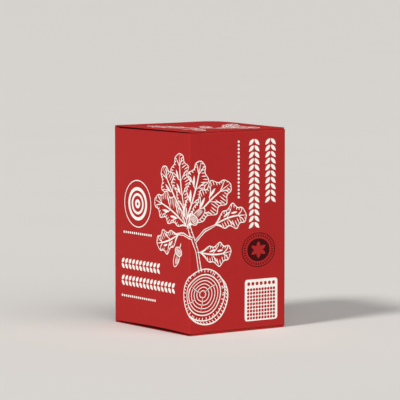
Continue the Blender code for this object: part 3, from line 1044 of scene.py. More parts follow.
# %% [markdown]
# The side walls stop where their dust flaps bend over. The front wall is cut lower, more at its left
# end than at its right, and the first stretch of the right side runs out from there. That leaves the
# dark slit under the lid, which narrows to the right and ends on the right side. At the front's left
# corner the walls rise to the lid's nose and close it. The slit over the base is widest past its
# middle. The outline is written for the upper edge, and the lower edge is its mirror image with the
# base's own slit. A short step goes in wherever the rim changes its kind, so the change stays small.

# %% Outline of the walls
TUCK_AXIS = crease_at["tuck_crease"]
DUST_AXIS = crease_at["dust_crease_right"]
BEND_LEVEL = DUST_AXIS.z
DUST_REAR = dust_high.y
SLIT_LEFT = round(walls_high.z - 0.95, 3)
SLIT_RIGHT = round(walls_high.z - 0.15, 3)
SLIT_CLOSED = round(walls_high.z + 0.57, 3)
SLIT_TAPER = 7.0
SLIT_END = dust_low.y - 0.15
BASE_SLIT_ENDS = round(walls_high.z - 0.3, 3)
BASE_SLIT_SWELL = 1.25
BASE_SLIT_SKEW = 1.3
SLIT_STEPS = 12
STEP = 0.5
NICK = 0.1
HAIR = 0.01
GLUE_FLAP_NOTCH = 4.0
GLUE_FLAP_SLANT = 9.0

bead_first = BACK_START + 2 * STEP
bead_last = BACK_END - 2 * STEP
slit_last = on_right(SLIT_END)
open_first = FRONT_START + SLIT_TAPER
middle_steps = [FRONT_START + (FRONT_END - FRONT_START) * i / SLIT_STEPS for i in range(1, SLIT_STEPS)]
front_steps = [FRONT_START + SLIT_TAPER / 2, open_first, open_first + STEP, *middle_steps, FRONT_END - STEP]


def slit_level(s, at_base):
    """The height of the front wall's edge at a slit, measured as if the slit were the upper one."""
    along = min((s - FRONT_START) / (FRONT_END - FRONT_START), 1.0)
    level = SLIT_LEFT + (SLIT_RIGHT - SLIT_LEFT) * along
    if at_base:
        level = BASE_SLIT_ENDS - BASE_SLIT_SWELL * math.sin(math.pi * along ** BASE_SLIT_SKEW)
    closed = max(1 - (s - FRONT_START) / SLIT_TAPER, 0.0)
    return level + (SLIT_CLOSED - level) * closed


def wall_edge(at_base):
    """The edge of the strip from end to end, as if it were the upper one."""
    slit = [(s, slit_level(s, at_base)) for s in (FRONT_START, *front_steps, FRONT_END, SIDE_START)]
    return [
        (0.0, BEND_LEVEL),
        (on_left(SLIT_END), BEND_LEVEL),
        (on_left(SLIT_END), walls_high.z),
        (on_left(TUCK_AXIS.y - NICK), walls_high.z),
        (on_left(front_y - NICK), SLIT_CLOSED),
        *slit,
        (slit_last, walls_high.z - NICK),
        (slit_last, BEND_LEVEL),
        (on_right(DUST_REAR), BEND_LEVEL),
        (on_right(DUST_REAR), walls_high.z),
        (bead_first - STEP, walls_high.z),
        (bead_first, walls_high.z),
        (bead_last, walls_high.z),
        (bead_last + STEP, walls_high.z),
        (FLAP_START + 3 * NICK, walls_high.z),
        (FLAP_START + 6 * NICK, walls_high.z - GLUE_FLAP_NOTCH),
        (STRIP_END, walls_high.z - GLUE_FLAP_SLANT),
    ]


wall_outline = [Vector((s, HEIGHT - z)) for s, z in wall_edge(True)]
wall_outline += [Vector((s, z)) for s, z in reversed(wall_edge(False))]


def wall_rim(s, z):
    """The kind of rim at a point of the walls' outline."""
    level = max(z, HEIGHT - z)
    if bead_first - HAIR < s < bead_last + HAIR and abs(level - walls_high.z) < HAIR:
        return "bead"
    return "open" if open_first + NICK < s < FRONT_END - NICK else "cut"


print("outline of the walls:", len(wall_outline), "points")

# %% [markdown]
# The print of each panel is placed by the panel's own left edge, seen from outside. The front has the
# ring, two bands and two rows of dots. The right side has two upright bands, the seal and the label, and
# the picture runs over the corner between them. The photograph doesn't show the left side and the
# back, so they carry the same family of marks. A row is given by its drawing, its length and its place.

# %% Print on the front and the right side
FRONT_RING = (42.6, 125.2)
FRONT_ROWS = (
    (dotted_line, 51.5, 16.5, 93.6),
    (laurel_band, 69.0, 13.0, 57.4),
    (laurel_band, 95.0, 13.0, 40.0),
    (dotted_line, 61.5, 13.0, 28.2),
)
TALL_BAND_HEIGHT = 13.0
TALL_BANDS = ((65.0, 93.5, 193.0), (90.0, 73.0, 193.0))
TALL_LINE = (58.0, 59.0, 192.0)
SEAL_PLACE = (85.0, 81.0)
LABEL_BOX = (68.0, 9.5, 109.0, 51.5)


def drawn_rows(rows):
    """Bands and rows of dots on a panel."""
    shapes = []
    for draw, length, x, y in rows:
        shapes += moved(draw(length), x, y)
    return shapes


front_print = ring_emblem(*FRONT_RING) + drawn_rows(FRONT_ROWS)
side_print = []
for length, x, y in TALL_BANDS:
    side_print += moved(turned(laurel_band(length, TALL_BAND_HEIGHT)), x, y)
side_print += moved(turned(dotted_line(TALL_LINE[0])), *TALL_LINE[1:])
side_print += dark_seal(*SEAL_PLACE) + dot_panel(*LABEL_BOX)
print("shapes on the front and the side:", len(front_print), len(side_print))

# %% [markdown]
# The left side shows four steps, each a ring with rows of dots beside it, under a band. The ring's
# heart grows from step to step. The back has a band and a line over a sprig of three leaves.

# %% Print on the left side and the back
LEFT_ROWS = ((laurel_band, 90.0, 13.0, 172.0),)
STEP_COUNT = 4
STEP_TOP = 146.0
STEP_PITCH = 36.0
STEP_RING = (26.0, 11.0, 1.1)
STEP_HEART = (2.2, 1.7)
STEP_LINES = (54.4, 52.4, 42.4)
STEP_LINE_PLACE = (45.0, 4.6)
STEP_LINE_PITCH = 5.8
BACK_ROWS = ((laurel_band, 95.0, 19.0, 168.0), (dotted_line, 79.0, 27.0, 157.0))
BACK_SEED = 5
BACK_TWIGS = [([(66, 22), (67, 45), (65, 70)], 3.6)]
BACK_LEAVES = [
    ((66, 52), (26, 92), 15.0, 2.0, 4),
    ((66, 52), (106, 92), 15.0, 2.0, 4),
    ((65, 68), (66, 128), 17.0, 0.0, 4),
]
BACK_ACORNS = [(52, 42, 9.0, -125), (82, 42, 9.0, -55)]

left_print = drawn_rows(LEFT_ROWS)
for i in range(STEP_COUNT):
    x, radius, width = STEP_RING
    z = STEP_TOP - STEP_PITCH * i
    left_print += ring(x, z, radius, width, WHITE, RED)
    left_print.append((WHITE, circle(x, z, STEP_HEART[0] + STEP_HEART[1] * i)))
    for j, length in enumerate(STEP_LINES):
        x_line, rise = STEP_LINE_PLACE
        left_print += moved(dotted_line(length), x_line, z + rise - STEP_LINE_PITCH * j)
back_print = drawn_rows(BACK_ROWS)
back_print += spray(BACK_TWIGS, BACK_LEAVES, BACK_ACORNS, random.Random(BACK_SEED))
print("shapes on the left side and the back:", len(left_print), len(back_print))

# %% [markdown]
# With its outline, folds and print the strip becomes one closed board. Its points stand about a
# centimetre apart between the prints, close enough for the slight bow of the panels.

# %% Printed walls
wall_prints = []
for shapes, start in (
    (front_print, FRONT_START - CORNER_RADIUS), (side_print, SIDE_START - CORNER_RADIUS),
    (left_print, 0.0), (back_print, BACK_START - CORNER_RADIUS), (picture, FRONT_CORNER),
):
    wall_prints += moved(shapes, start, 0.0)
carton_board = board_sheet(
    "carton_board", place_wall, wall_outline, strip_at[1:-1], wall_prints, wall_rim,
    spacing=11.0, flutes_along_y=True,
)
# The walls stand still: they ride on the body "carton".
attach(carton_board, "carton")
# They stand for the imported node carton_walls, which is hidden.
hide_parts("carton_walls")

# %% [markdown]
# ## Lid and base
# The lid is one sheet with its tuck flap. It starts as a socket on the hinge bead, runs to the rounded
# nose over the front wall, comes back under it and turns down behind the wall, which leaves a groove
# between the nose and the wall. The base is the same sheet turned over.

# %% Section of a panel with its tuck flap
NOSE_RADIUS = 0.8
NOSE_Y = lid_low.y
NOSE_LOW = HEIGHT - 0.95
UNDER = round(HEIGHT - BOARD, 3)
NOSE_INNER = 0.9
NOSE_INNER_STEP = 0.14
LEAN = math.radians(5.0)
TUCK_LENGTH = 17.0
CREASE_FLAT = 1.5


def tuck_stations():
    """Outer and inner points of the section, as (y, z), from the hinge to the tuck flap's free edge.
    Under the nose the outer face steps back to the flap's root while the inner one turns down."""
    rear = HINGE.y - SOCKET_SET
    inner_y = TUCK_AXIS.y
    down = Vector((math.sin(LEAN), -math.cos(LEAN)))
    out = Vector((-math.cos(LEAN), -math.sin(LEAN)))
    root = Vector((inner_y, TUCK_AXIS.z))
    nose = bend((NOSE_Y + NOSE_RADIUS, HEIGHT - NOSE_RADIUS), NOSE_RADIUS, 0.0, 90, 180)
    stations = [(Vector((y, HEIGHT)), Vector((y, UNDER))) for y in (rear, HINGE.y - CREASE_FLAT)]
    for i, (outer, _) in enumerate(nose):
        stations.append((outer, Vector((inner_y + NOSE_INNER - NOSE_INNER_STEP * i, UNDER))))
    stations += [
        (Vector((NOSE_Y, NOSE_LOW + 0.06)), Vector((inner_y + 0.04, UNDER - 0.02))),
        (Vector((NOSE_Y + 0.1, NOSE_LOW)), Vector((inner_y + 0.02, UNDER - 0.06))),
        (Vector((NOSE_Y + 1.2, NOSE_LOW - 0.2)), Vector((inner_y + 0.01, UNDER - 0.12))),
        (root + out * BOARD + Vector((0.0, 0.26)), Vector((inner_y, UNDER - 0.2))),
        (root + out * BOARD, root),
        (root + out * BOARD + down * TUCK_LENGTH, root + down * TUCK_LENGTH),
    ]
    return stations


section, section_at = fold(tuck_stations())
NOSE_START = section_at[2]
NOSE_LIP, NOSE_END, _, FLAP_ROOT, FLAP_TIP = section_at[-5:]
print("flat length of the lid with its tuck flap:", round(FLAP_TIP, 1), "mm")

# %% [markdown]
# The lid isn't flat: near its hinge the crease springs it up by a few millimetres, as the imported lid
# does. Its rule is repeated here: highest at a fifth of the way from the hinge, a little left of the
# middle, and nothing at its edges and its nose. It starts just past the crease, so the lid doesn't
# press into the back wall when it hangs open.

# %% Spring of the lid
SPRING = 2.4
SPRING_REACH = 0.55
SPRING_SKEW = -16.0


def lid_spring(x, y):
    """How far the lid stands up from flat at a point, with y measured from the hinge."""
    across = math.cos(math.pi * (x - SPRING_SKEW) / (2 * (RIGHT + abs(SPRING_SKEW))))
    edge = 1 - (x / RIGHT) ** 4
    along = min(max((-y - CREASE_FLAT) / (DEPTH * SPRING_REACH - CREASE_FLAT), 0.0), 1.0)
    return SPRING * max(across, 0.0) * max(edge, 0.0) * math.sin(math.pi * along ** 0.6)


highest = max(lid_spring(SPRING_SKEW, -y) for y in range(int(DEPTH)))
print("the lid springs up by", round(highest, 2), "mm")


def place_lid(s, x, depth):
    point = section(s, depth)
    rise = lid_spring(x, point.x - HINGE.y) if s < NOSE_START else 0.0
    return Vector((x, point.x, point.y + rise))


def place_base(s, x, depth):
    point = section(s, depth)
    return Vector((x, point.x, HEIGHT - point.y))


# %% [markdown]
# On the blank the lid is a plain rectangle, and its tuck flap has a narrower root, slanted sides and
# round corners, so it finds its way in behind the front wall. Only its free edge shows the flutes.

# %% Outline of the lid and the base
LID_HALF = lid_high.x
TUCK_HALF = tuck_high.x
ROOT_HALF = RIGHT - BOARD - 0.4
ROOT_RUN = 2.0
TUCK_TAPER = 3.0
TUCK_CORNER = 9.0


def round_corner(corner, before, after, radius, steps=6):
    """An arc of that radius in a corner between two neighbours."""
    corner, before, after = Vector(corner), Vector(before), Vector(after)
    a, b = (before - corner).normalized(), (after - corner).normalized()
    half = a.angle(b) / 2
    centre = corner + (a + b).normalized() * (radius / math.sin(half))
    start = corner + a * (radius / math.tan(half)) - centre
    end = corner + b * (radius / math.tan(half)) - centre
    turn = math.atan2(start.cross(end), start.dot(end))
    return [centre + Matrix.Rotation(turn * i / steps, 2) @ start for i in range(steps + 1)]


def tuck_outline():
    """The flat sheet: across the carton as y, and from the hinge to the free edge as x."""
    tip = TUCK_HALF - TUCK_TAPER
    lower = [Vector((0.0, -LID_HALF)), Vector((NOSE_END, -LID_HALF)), Vector((NOSE_END, -ROOT_HALF)),
             Vector((FLAP_ROOT + ROOT_RUN, -ROOT_HALF)), Vector((FLAP_ROOT + 2 * ROOT_RUN, -TUCK_HALF))]
    lower += round_corner((FLAP_TIP, -tip), (FLAP_ROOT, -TUCK_HALF), (FLAP_TIP, tip), TUCK_CORNER)
    return lower + [Vector((point.x, -point.y)) for point in reversed(lower)]


def tuck_rim(s, x):
    """The kind of rim at a point of the outline of the lid or the base."""
    if s < HAIR:
        return "socket"
    free_edge = s > FLAP_TIP - HAIR and abs(x) < TUCK_HALF - TUCK_TAPER - TUCK_CORNER
    return "open" if free_edge else "cut"


sheet_outline = tuck_outline()
print("outline of the lid:", len(sheet_outline), "points")

# %% [markdown]
# The lid carries a twig with three leaves and two acorns, as a second, smaller cut of the same picture.
# The root of each tuck flap has the dark ink as painted shade, which keeps the slit in front of it dark.
# Both sheets come from one outline, and only their places and prints differ.

# %% Printed lid and base
LID_SEED = 8
LID_TWIGS = [([(107, 38), (84, 33), (62, 37), (52, 38)], 3.4)]
LID_LEAVES = [
    ((80, 32), (97, -36), 13.0, 3.0, 4),
    ((66, 37), (24, 57), 12.0, 2.0, 3),
    ((54, 36), (27, 14), 9.5, -2.0, 3),
]
LID_ACORNS = [(95, 51, 9.5, 75), (64, 18, 9.5, -110)]
SLIT_SHADE_INSET = 0.2


def painted_slit_shade():
    """Painted shade: the root of a tuck flap in the dark ink, a hair inside the sheet's outline, where the
    slit in front of it lies in shade.
    """
    lip, turn, last = NOSE_LIP + SLIT_SHADE_INSET / 4, NOSE_END - SLIT_SHADE_INSET, FLAP_ROOT + ROOT_RUN - NICK
    wide, narrow = LID_HALF - SLIT_SHADE_INSET, ROOT_HALF - SLIT_SHADE_INSET
    band = [(lip, -wide), (turn, -wide), (turn, -narrow), (last, -narrow)]
    return [(DARK_INK_AND_SLIT_SHADE, [Vector(corner) for corner in band] + [Vector((x, -y)) for x, y in reversed(band)])]


lid_print = spray(LID_TWIGS, LID_LEAVES, LID_ACORNS, random.Random(LID_SEED))
# The dark band at the tuck flap's root is painted shade for the slit over the front wall.
lid_board = board_sheet(
    "lid_board", place_lid, sheet_outline, section_at[1:-1], lid_print + painted_slit_shade(), tuck_rim,
    spacing=7.0, flutes_along_y=False,
)
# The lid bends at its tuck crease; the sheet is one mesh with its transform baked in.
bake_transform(lid_board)
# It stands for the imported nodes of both, the lid panel and the tuck flap.
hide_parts("lid_panel", "tuck_flap")

# The base carries only painted shade: the dark band at its tuck flap's root, for the slit at the foot of the
# front wall.
base_board = board_sheet(
    "base_board", place_base, sheet_outline, section_at[1:-1], painted_slit_shade(), tuck_rim,
    spacing=20.0, flutes_along_y=False,
)
# The base stays shut: it rides on "carton" with its tuck flap.
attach(base_board, "carton")
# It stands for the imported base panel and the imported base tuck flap.
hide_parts("base_panel", "base_tuck_flap")

# %% [markdown]
# ## Dust flaps
# Each side wall bends over into a flap that keeps dust out under the lid, and two more lie on the
# base. A flap's sheet begins where the wall ends, so the bend belongs to it. Its front is cut back at a
# slant, its rear a little, and both corners are round.

# %% Outline of a dust flap
CREASE_GIRTH = 0.08
DUST_FRONT_TAPER = 11.0
DUST_REAR_TAPER = 5.0
DUST_CORNER = 6.0

dust_stations = bend((DUST_AXIS.x, DUST_AXIS.z), BOARD, CREASE_GIRTH, 0, 90)
dust_stations.append((Vector((dust_low.x, dust_high.z)), Vector((dust_low.x, dust_low.z))))
dust_section, dust_at = fold(dust_stations)
DUST_ROOT, DUST_TIP = dust_at[-2:]


def dust_outline(rear):
    """The flat flap: from the wall inwards as x, along the wall as y."""
    front = dust_low.y
    front_tip = (DUST_TIP, front + DUST_FRONT_TAPER)
    rear_tip = (DUST_TIP, rear - DUST_REAR_TAPER)
    points = [Vector((0.0, front)), Vector((DUST_ROOT, front))]
    points += round_corner(front_tip, (DUST_ROOT, front), rear_tip, DUST_CORNER)
    points += round_corner(rear_tip, front_tip, (DUST_ROOT, rear), DUST_CORNER)
    return points + [Vector((DUST_ROOT, rear)), Vector((0.0, rear))]


def dust_rim(rear):
    """A function for the kind of rim: open on the straight stretch of the free edge."""
    def kind(s, y):
        straight = dust_low.y + DUST_FRONT_TAPER + DUST_CORNER < y < rear - DUST_REAR_TAPER - DUST_CORNER
        return "open" if s > DUST_TIP - HAIR and straight else "cut"
    return kind


print("flat length of a dust flap with its bend:", round(DUST_TIP, 1), "mm")

# %% [markdown]
# The four flaps are one drawing, turned over for the left side and for the base. The upper two open,
# so each is made as one whole sheet with its bend.


def dust_flap(name, side, upper, rear):
    """A flap on the right (side 1) or the left (side -1), under the lid or on the base."""
    def place(s, y, depth):
        point = dust_section(s, depth)
        return Vector((side * point.x, y, point.y if upper else HEIGHT - point.y))
    flap = board_sheet(
        name, place, dust_outline(rear), dust_at[1:-1], [], dust_rim(rear), spacing=12.0, flutes_along_y=False
    )
    # The finish of every dust flap is the printed board.
    return flap


for side, where, rear in ((1, "right", DUST_REAR), (-1, "left", LEFT_WALL_REAR - NICK)):
    flap = dust_flap(f"dust_flap_board_{where}", side, True, rear)
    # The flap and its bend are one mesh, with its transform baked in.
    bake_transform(flap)
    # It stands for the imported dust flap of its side.
    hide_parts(f"dust_flap_{where}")
    low_flap = dust_flap(f"base_dust_board_{where}", side, False, rear)
    # The flaps on the base never move, so they ride on "carton".
    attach(low_flap, "carton")
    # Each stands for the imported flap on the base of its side.
    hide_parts(f"base_dust_flap_{where}")

# %% [markdown]
# ## Flutes
# Where the board is cut across its flutes, the wavy medium shows between the liners. It follows the
# rim's own line and repeats hundreds of times, so Geometry Nodes make it. A tree starts with its inputs
# and ends in Realize Instances and Set Material. Its result is taken as a plain mesh, because an
# exported model keeps neither trees nor curves.

# %% Geometry Nodes helpers


def new_tree(name, sockets):
    """An empty geometry tree with named inputs, each (name, socket kind, value)."""
    tree = bpy.data.node_groups.new(name, "GeometryNodeTree")
    tree.interface.new_socket("Geometry", in_out="INPUT", socket_type="NodeSocketGeometry")
    for label, kind, value in sockets:
        socket = tree.interface.new_socket(label, in_out="INPUT", socket_type=kind)
        socket.default_value = value
    tree.interface.new_socket("Geometry", in_out="OUTPUT", socket_type="NodeSocketGeometry")
    return tree, add_node(tree, "NodeGroupInput")


def end_tree(tree, shape, material):
    """Closes a tree: instances made real, then the material set."""
    real = add_node(tree, "GeometryNodeRealizeInstances", {"Geometry": shape})
    dressed = add_node(tree, "GeometryNodeSetMaterial", {"Geometry": real.outputs[0], "Material": material})
    add_node(tree, "NodeGroupOutput", {0: dressed.outputs[0]})
    print(f"{tree.name}: {len(tree.nodes)} nodes")


def baked(name, source, tree, values):
    """Runs a tree on a source object with its inputs set, and returns the result as a plain object."""
    modifier = source.modifiers.new(tree.name, "NODES")
    modifier.node_group = tree
    for socket in tree.interface.items_tree:
        if socket.in_out == "INPUT" and socket.name in values:
            modifier[socket.identifier] = values[socket.name]
    graph = bpy.context.evaluated_depsgraph_get()
    mesh = bpy.data.meshes.new_from_object(source.evaluated_get(graph))
    mesh.name = name
    source.modifiers.clear()
    return put(name, mesh)


# %% [markdown]
# The line of a rim is cut into short steps, each step is pushed across the board by a sine of its
# length, and the wavy line is drawn out into the board, as deep as the cut is open. The wave is a
# little flatter than the room between the liners, so the medium touches neither of them.

# %% The flute tree
FLUTE_PAPER = 0.16
FLUTE_STEPS = 12
FLUTE_PLAY = 0.02
FLUTE_SWING = HALF - LINER - FLUTE_PAPER / 2 - FLUTE_PLAY

flute_tree, given = new_tree("flute_wave", [
    ("Pitch", "NodeSocketFloat", FLUTE_PITCH * MM),
    ("Swing", "NodeSocketFloat", FLUTE_SWING * MM),
    ("Into Board", "NodeSocketVector", (0.0, 0.0, -1.0)),
    ("Depth", "NodeSocketFloat", FLUTE_OPEN * MM),
])
pitch, into_board = given.outputs["Pitch"], given.outputs["Into Board"]
step = add_node(flute_tree, "ShaderNodeMath", {0: pitch, 1: float(FLUTE_STEPS)}, operation="DIVIDE")
fine_line = add_node(
    flute_tree, "GeometryNodeResampleCurve", {"Curve": given.outputs[0], "Length": step.outputs[0]},
    mode="LENGTH",
)
reached = add_node(flute_tree, "GeometryNodeSplineParameter").outputs["Length"]
turns = add_node(flute_tree, "ShaderNodeMath", {0: reached, 1: pitch}, operation="DIVIDE")
angle = add_node(flute_tree, "ShaderNodeMath", {0: turns.outputs[0], 1: 2 * math.pi}, operation="MULTIPLY")
wave = add_node(flute_tree, "ShaderNodeMath", {0: angle.outputs[0]}, operation="SINE")
swing = add_node(
    flute_tree, "ShaderNodeMath", {0: wave.outputs[0], 1: given.outputs["Swing"]}, operation="MULTIPLY"
)
heading = add_node(flute_tree, "GeometryNodeInputTangent").outputs[0]
across_board = add_node(
    flute_tree, "ShaderNodeVectorMath", {0: heading, 1: into_board}, operation="CROSS_PRODUCT"
)
push = add_node(
    flute_tree, "ShaderNodeVectorMath", {0: across_board.outputs[0], "Scale": swing.outputs[0]},
    operation="SCALE",
)
wavy = add_node(
    flute_tree, "GeometryNodeSetPosition", {"Geometry": fine_line.outputs[0], "Offset": push.outputs[0]}
)
edge_line = add_node(flute_tree, "GeometryNodeCurveToMesh", {"Curve": wavy.outputs[0]})
drawn_out = add_node(
    flute_tree, "GeometryNodeExtrudeMesh",
    {"Mesh": edge_line.outputs[0], "Offset": into_board, "Offset Scale": given.outputs["Depth"]},
    mode="EDGES",
)
end_tree(flute_tree, drawn_out.outputs[0], flute_paper)

# %% [markdown]
# A rim becomes a curve of straight stretches, the tree runs on it, and a Solidify modifier gives the
# paper its thickness.

# %% Flutes along a line


def path_object(name, points):
    """A curve object of one open line through points in metres."""
    curve = bpy.data.curves.new(name, "CURVE")
    curve.dimensions = "3D"
    spline = curve.splines.new("POLY")
    spline.points.add(len(points) - 1)
    for target, point in zip(spline.points, points):
        target.co = (*point, 1.0)
    return put(name, curve)


def thickened(obj, name, thickness, offset=0.0):
    """Gives a sheet its thickness in millimetres, inwards at offset -1 and to both sides at 0."""
    solidify = obj.modifiers.new(name, "SOLIDIFY")
    solidify.thickness = thickness * MM
    solidify.offset = offset


def flutes(name, line, into):
    """The wavy medium along a rim, as a thin closed sheet."""
    source = path_object(f"{name}_line", line)
    obj = baked(name, source, flute_tree, {"Into Board": into})
    bpy.data.objects.remove(source, do_unlink=True)
    thickened(obj, "paper", FLUTE_PAPER)
    # The medium is part of the board, and its finish is the fluting paper.
    print(f"{name}: {len(obj.data.polygons)} faces")
    return obj


# %% [markdown]
# The open rims are the front's upper and lower edges and the free edge of every flap. Each rim's
# flutes ride with the board that they are in, and they stop a little before the rim does.

# %% Flutes on every open rim
FLUTE_SET = 0.15
FLUTE_END = 1.0

front_run = [open_first + FLUTE_END, *middle_steps, FRONT_END - FLUTE_END]
upper_line = [place_wall(s, slit_level(s, False) - FLUTE_SET, HALF) * MM for s in front_run]
lower_line = [place_wall(s, HEIGHT - slit_level(s, True) + FLUTE_SET, HALF) * MM for s in front_run]
upper_flutes = flutes("flutes_upper_rim", upper_line, (0.0, 0.0, -1.0))
lower_flutes = flutes("flutes_lower_rim", lower_line, (0.0, 0.0, 1.0))
# The front's flutes are part of the walls, which ride on "carton".
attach(upper_flutes, "carton")
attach(lower_flutes, "carton")

tuck_run = TUCK_HALF - TUCK_TAPER - TUCK_CORNER - FLUTE_END
tuck_edge = [place_lid(FLAP_TIP - FLUTE_SET, x, HALF) * MM for x in (-tuck_run, tuck_run)]
tuck_flutes = flutes("flutes_tuck_flap", tuck_edge, (0.0, -math.sin(LEAN), math.cos(LEAN)))
# The tuck flap's flutes ride on the flap's own body.
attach(tuck_flutes, "tuck_flap")

base_edge = [place_base(FLAP_TIP - FLUTE_SET, x, HALF) * MM for x in (-tuck_run, tuck_run)]
base_flutes = flutes("flutes_base_tuck_flap", base_edge, (0.0, -math.sin(LEAN), -math.cos(LEAN)))
# The base tuck flap is part of the carton's body, and its flutes ride on that.
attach(base_flutes, "carton")

dust_run = (dust_low.y + DUST_FRONT_TAPER + DUST_CORNER + FLUTE_END,
            dust_high.y - DUST_REAR_TAPER - DUST_CORNER - FLUTE_END - STEP)
for side, where in ((1, "right"), (-1, "left")):
    x = side * (dust_low.x + FLUTE_SET)
    for level, label, body in (
        (dust_low.z + HALF, "dust_flap", f"dust_flap_{where}"),
        (HEIGHT - dust_low.z - HALF, "base_dust_flap", "carton"),
    ):
        dust_edge = [Vector((x, y, level)) * MM for y in dust_run]
        dust_flutes = flutes(f"flutes_{label}_{where}", dust_edge, (float(side), 0.0, 0.0))
        # A dust flap's flutes ride on its own body, and those on the base ride on "carton".
        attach(dust_flutes, body)

# %% [markdown]
# ## Block
# A grow block is sawdust that the fungus has knitted together, pressed in its bag. It is a box with
# round edges and lumpy faces. A cube with many cuts is drawn to that shape, and each point is then
# pressed in along its normal, never out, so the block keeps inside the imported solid.

# %% Rounded box


def rounded_box(name, low, high, edge, cuts, press, material):
    """A closed box with round edges. press gives how far a point goes in, from its place and normal."""
    body = bmesh.new()
    bmesh.ops.create_cube(body, size=2.0)
    bmesh.ops.subdivide_edges(body, edges=body.edges[:], cuts=cuts, use_grid_fill=True)
    centre, half = (low + high) / 2, (high - low) / 2
    for vert in body.verts:
        wanted = [vert.co[i] * half[i] for i in range(3)]
        core = Vector([min(max(wanted[i], edge - half[i]), half[i] - edge) for i in range(3)])
        normal = (Vector(wanted) - core).normalized()
        point = centre + core + normal * edge
        vert.co = (point - normal * press(point, normal)) * MM
    return finished(name, body, [material])


# %% [markdown]
# The block is mostly white felt, a bright, dry mat, so it is rough and scatters light, and brown
# sawdust shows where the felt is thin. A noise with patches of about two centimetres says where that
# is, and a second noise with grains of two millimetres breaks the patch edges into single specks.

# %% Felt
PATCH = 22.0
SAWDUST_GRAIN = 2.0
SAWDUST_RELIEF = 0.5

felt, felt_tree, felt_shader = new_material("mycelium_felt_on_oak_sawdust", 0.95)
felt_place = add_node(felt_tree, "ShaderNodeTexCoord").outputs["Object"]
felt_patches = add_node(
    felt_tree, "ShaderNodeTexNoise", {"Vector": felt_place, "Scale": 1 / (PATCH * MM), "Detail": 3.0}
).outputs["Fac"]
felt_grain = add_node(
    felt_tree, "ShaderNodeTexNoise", {"Vector": felt_place, "Scale": 1 / (SAWDUST_GRAIN * MM), "Detail": 5.0}
).outputs["Fac"]
felt_share = add_node(felt_tree, "ShaderNodeMix", {"Factor": 0.42, 2: felt_patches, 3: felt_grain})
felt_ramp = add_node(
    felt_tree, "ShaderNodeValToRGB", {"Fac": felt_share.outputs[0]},
    stops=((0.40, "#6E4A2B"), (0.50, "#EFE8DA")),
)
felt_tree.links.new(felt_ramp.outputs[0], felt_shader.inputs["Base Color"])
felt_bump = add_node(
    felt_tree, "ShaderNodeBump", {"Height": felt_grain, "Strength": 0.7, "Distance": SAWDUST_RELIEF * MM}
)
felt_tree.links.new(felt_bump.outputs[0], felt_shader.inputs["Normal"])
print("felt patches of", PATCH, "mm, broken up by grains of", SAWDUST_GRAIN, "mm")

# %% [markdown]
# A slow noise gives the block the broad dents of the hands that packed it, and a turbulence of about a
# centimetre gives the lumps of the sawdust.

# %% Colonised block
BLOCK_EDGE = 10.0
BLOCK_CUTS = 46
BLOCK_SET = 0.15
DENT_SIZE = 31
DENT_DEPTH = 0.9
LUMP_SIZE = 9
LUMP_DEPTH = 0.55
block_low, block_high = corners("substrate_block")


def block_press(point, _normal):
    """How far a point of the block goes in. Dents and lumps don't depend on the face."""
    dent = 0.5 + 0.5 * noise.noise(point / DENT_SIZE)
    lumps = min(noise.turbulence(point / LUMP_SIZE, 3, False), 1.0)
    return BLOCK_SET + DENT_DEPTH * dent + LUMP_DEPTH * lumps


block = rounded_box("colonised_block", block_low, block_high, BLOCK_EDGE, BLOCK_CUTS, block_press, felt)
# The block stands in the carton and rides on it.
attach(block, "carton")
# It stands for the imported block, which is hidden.
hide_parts("substrate_block")

# %% [markdown]
# Loose chips of sawdust cling to the felt, each a flat splinter of oak, matt and of its own brown: a
# noise of a few millimetres gives neighbours different tones. Geometry Nodes scatter them: points on
# the block's faces with a fixed seed, a splinter on each, turned at random about the face's normal.

# %% Sawdust chips
CHIP = (1.1, 0.42, 0.26)
CHIP_TONE = 4.0
CHIP_SIZES = (0.5, 1.2)
CHIP_FACES = 20
CHIPS_PER_M2 = 26000.0
CHIP_SEED = 7

splinters, chip_tree, chip_shader = new_material("oak_sawdust", 0.9)
chip_place = add_node(chip_tree, "ShaderNodeTexCoord").outputs["Object"]
chip_tone = add_node(chip_tree, "ShaderNodeTexNoise", {"Vector": chip_place, "Scale": 1 / (CHIP_TONE * MM)})
chip_ramp = add_node(
    chip_tree, "ShaderNodeValToRGB", {"Fac": chip_tone.outputs["Fac"]},
    stops=((0.35, "#5A3A20"), (0.65, "#A87B4B")),
)
chip_tree.links.new(chip_ramp.outputs[0], chip_shader.inputs["Base Color"])

sawdust_tree, spread = new_tree("sawdust_chips", [
    ("Per Square Metre", "NodeSocketFloat", CHIPS_PER_M2),
    ("Seed", "NodeSocketInt", CHIP_SEED),
    ("Chip Size", "NodeSocketVector", tuple(size * MM for size in CHIP)),
    ("Smallest", "NodeSocketFloat", CHIP_SIZES[0]),
    ("Largest", "NodeSocketFloat", CHIP_SIZES[1]),
])
seed = spread.outputs["Seed"]
sown = add_node(
    sawdust_tree, "GeometryNodeDistributePointsOnFaces",
    {"Mesh": spread.outputs[0], "Density": spread.outputs["Per Square Metre"], "Seed": seed},
)
splinter = add_node(sawdust_tree, "GeometryNodeMeshIcoSphere", {"Radius": 1.0, "Subdivisions": 1})
flat_splinter = add_node(
    sawdust_tree, "GeometryNodeTransform",
    {"Geometry": splinter.outputs[0], "Scale": spread.outputs["Chip Size"]},
)
any_turn = add_node(
    sawdust_tree, "FunctionNodeRandomValue", {"Min": 0.0, "Max": 2 * math.pi, "Seed": seed}, data_type="FLOAT"
)
spin = add_node(
    sawdust_tree, "FunctionNodeAxisAngleToRotation",
    {"Axis": (0.0, 0.0, 1.0), "Angle": any_turn.outputs["Value"]},
)
lying = add_node(
    sawdust_tree, "FunctionNodeRotateRotation",
    {"Rotation": sown.outputs["Rotation"], "Rotate By": spin.outputs[0]}, rotation_space="LOCAL",
)
any_size = add_node(
    sawdust_tree, "FunctionNodeRandomValue",
    {"Min": spread.outputs["Smallest"], "Max": spread.outputs["Largest"], "Seed": seed}, data_type="FLOAT",
)
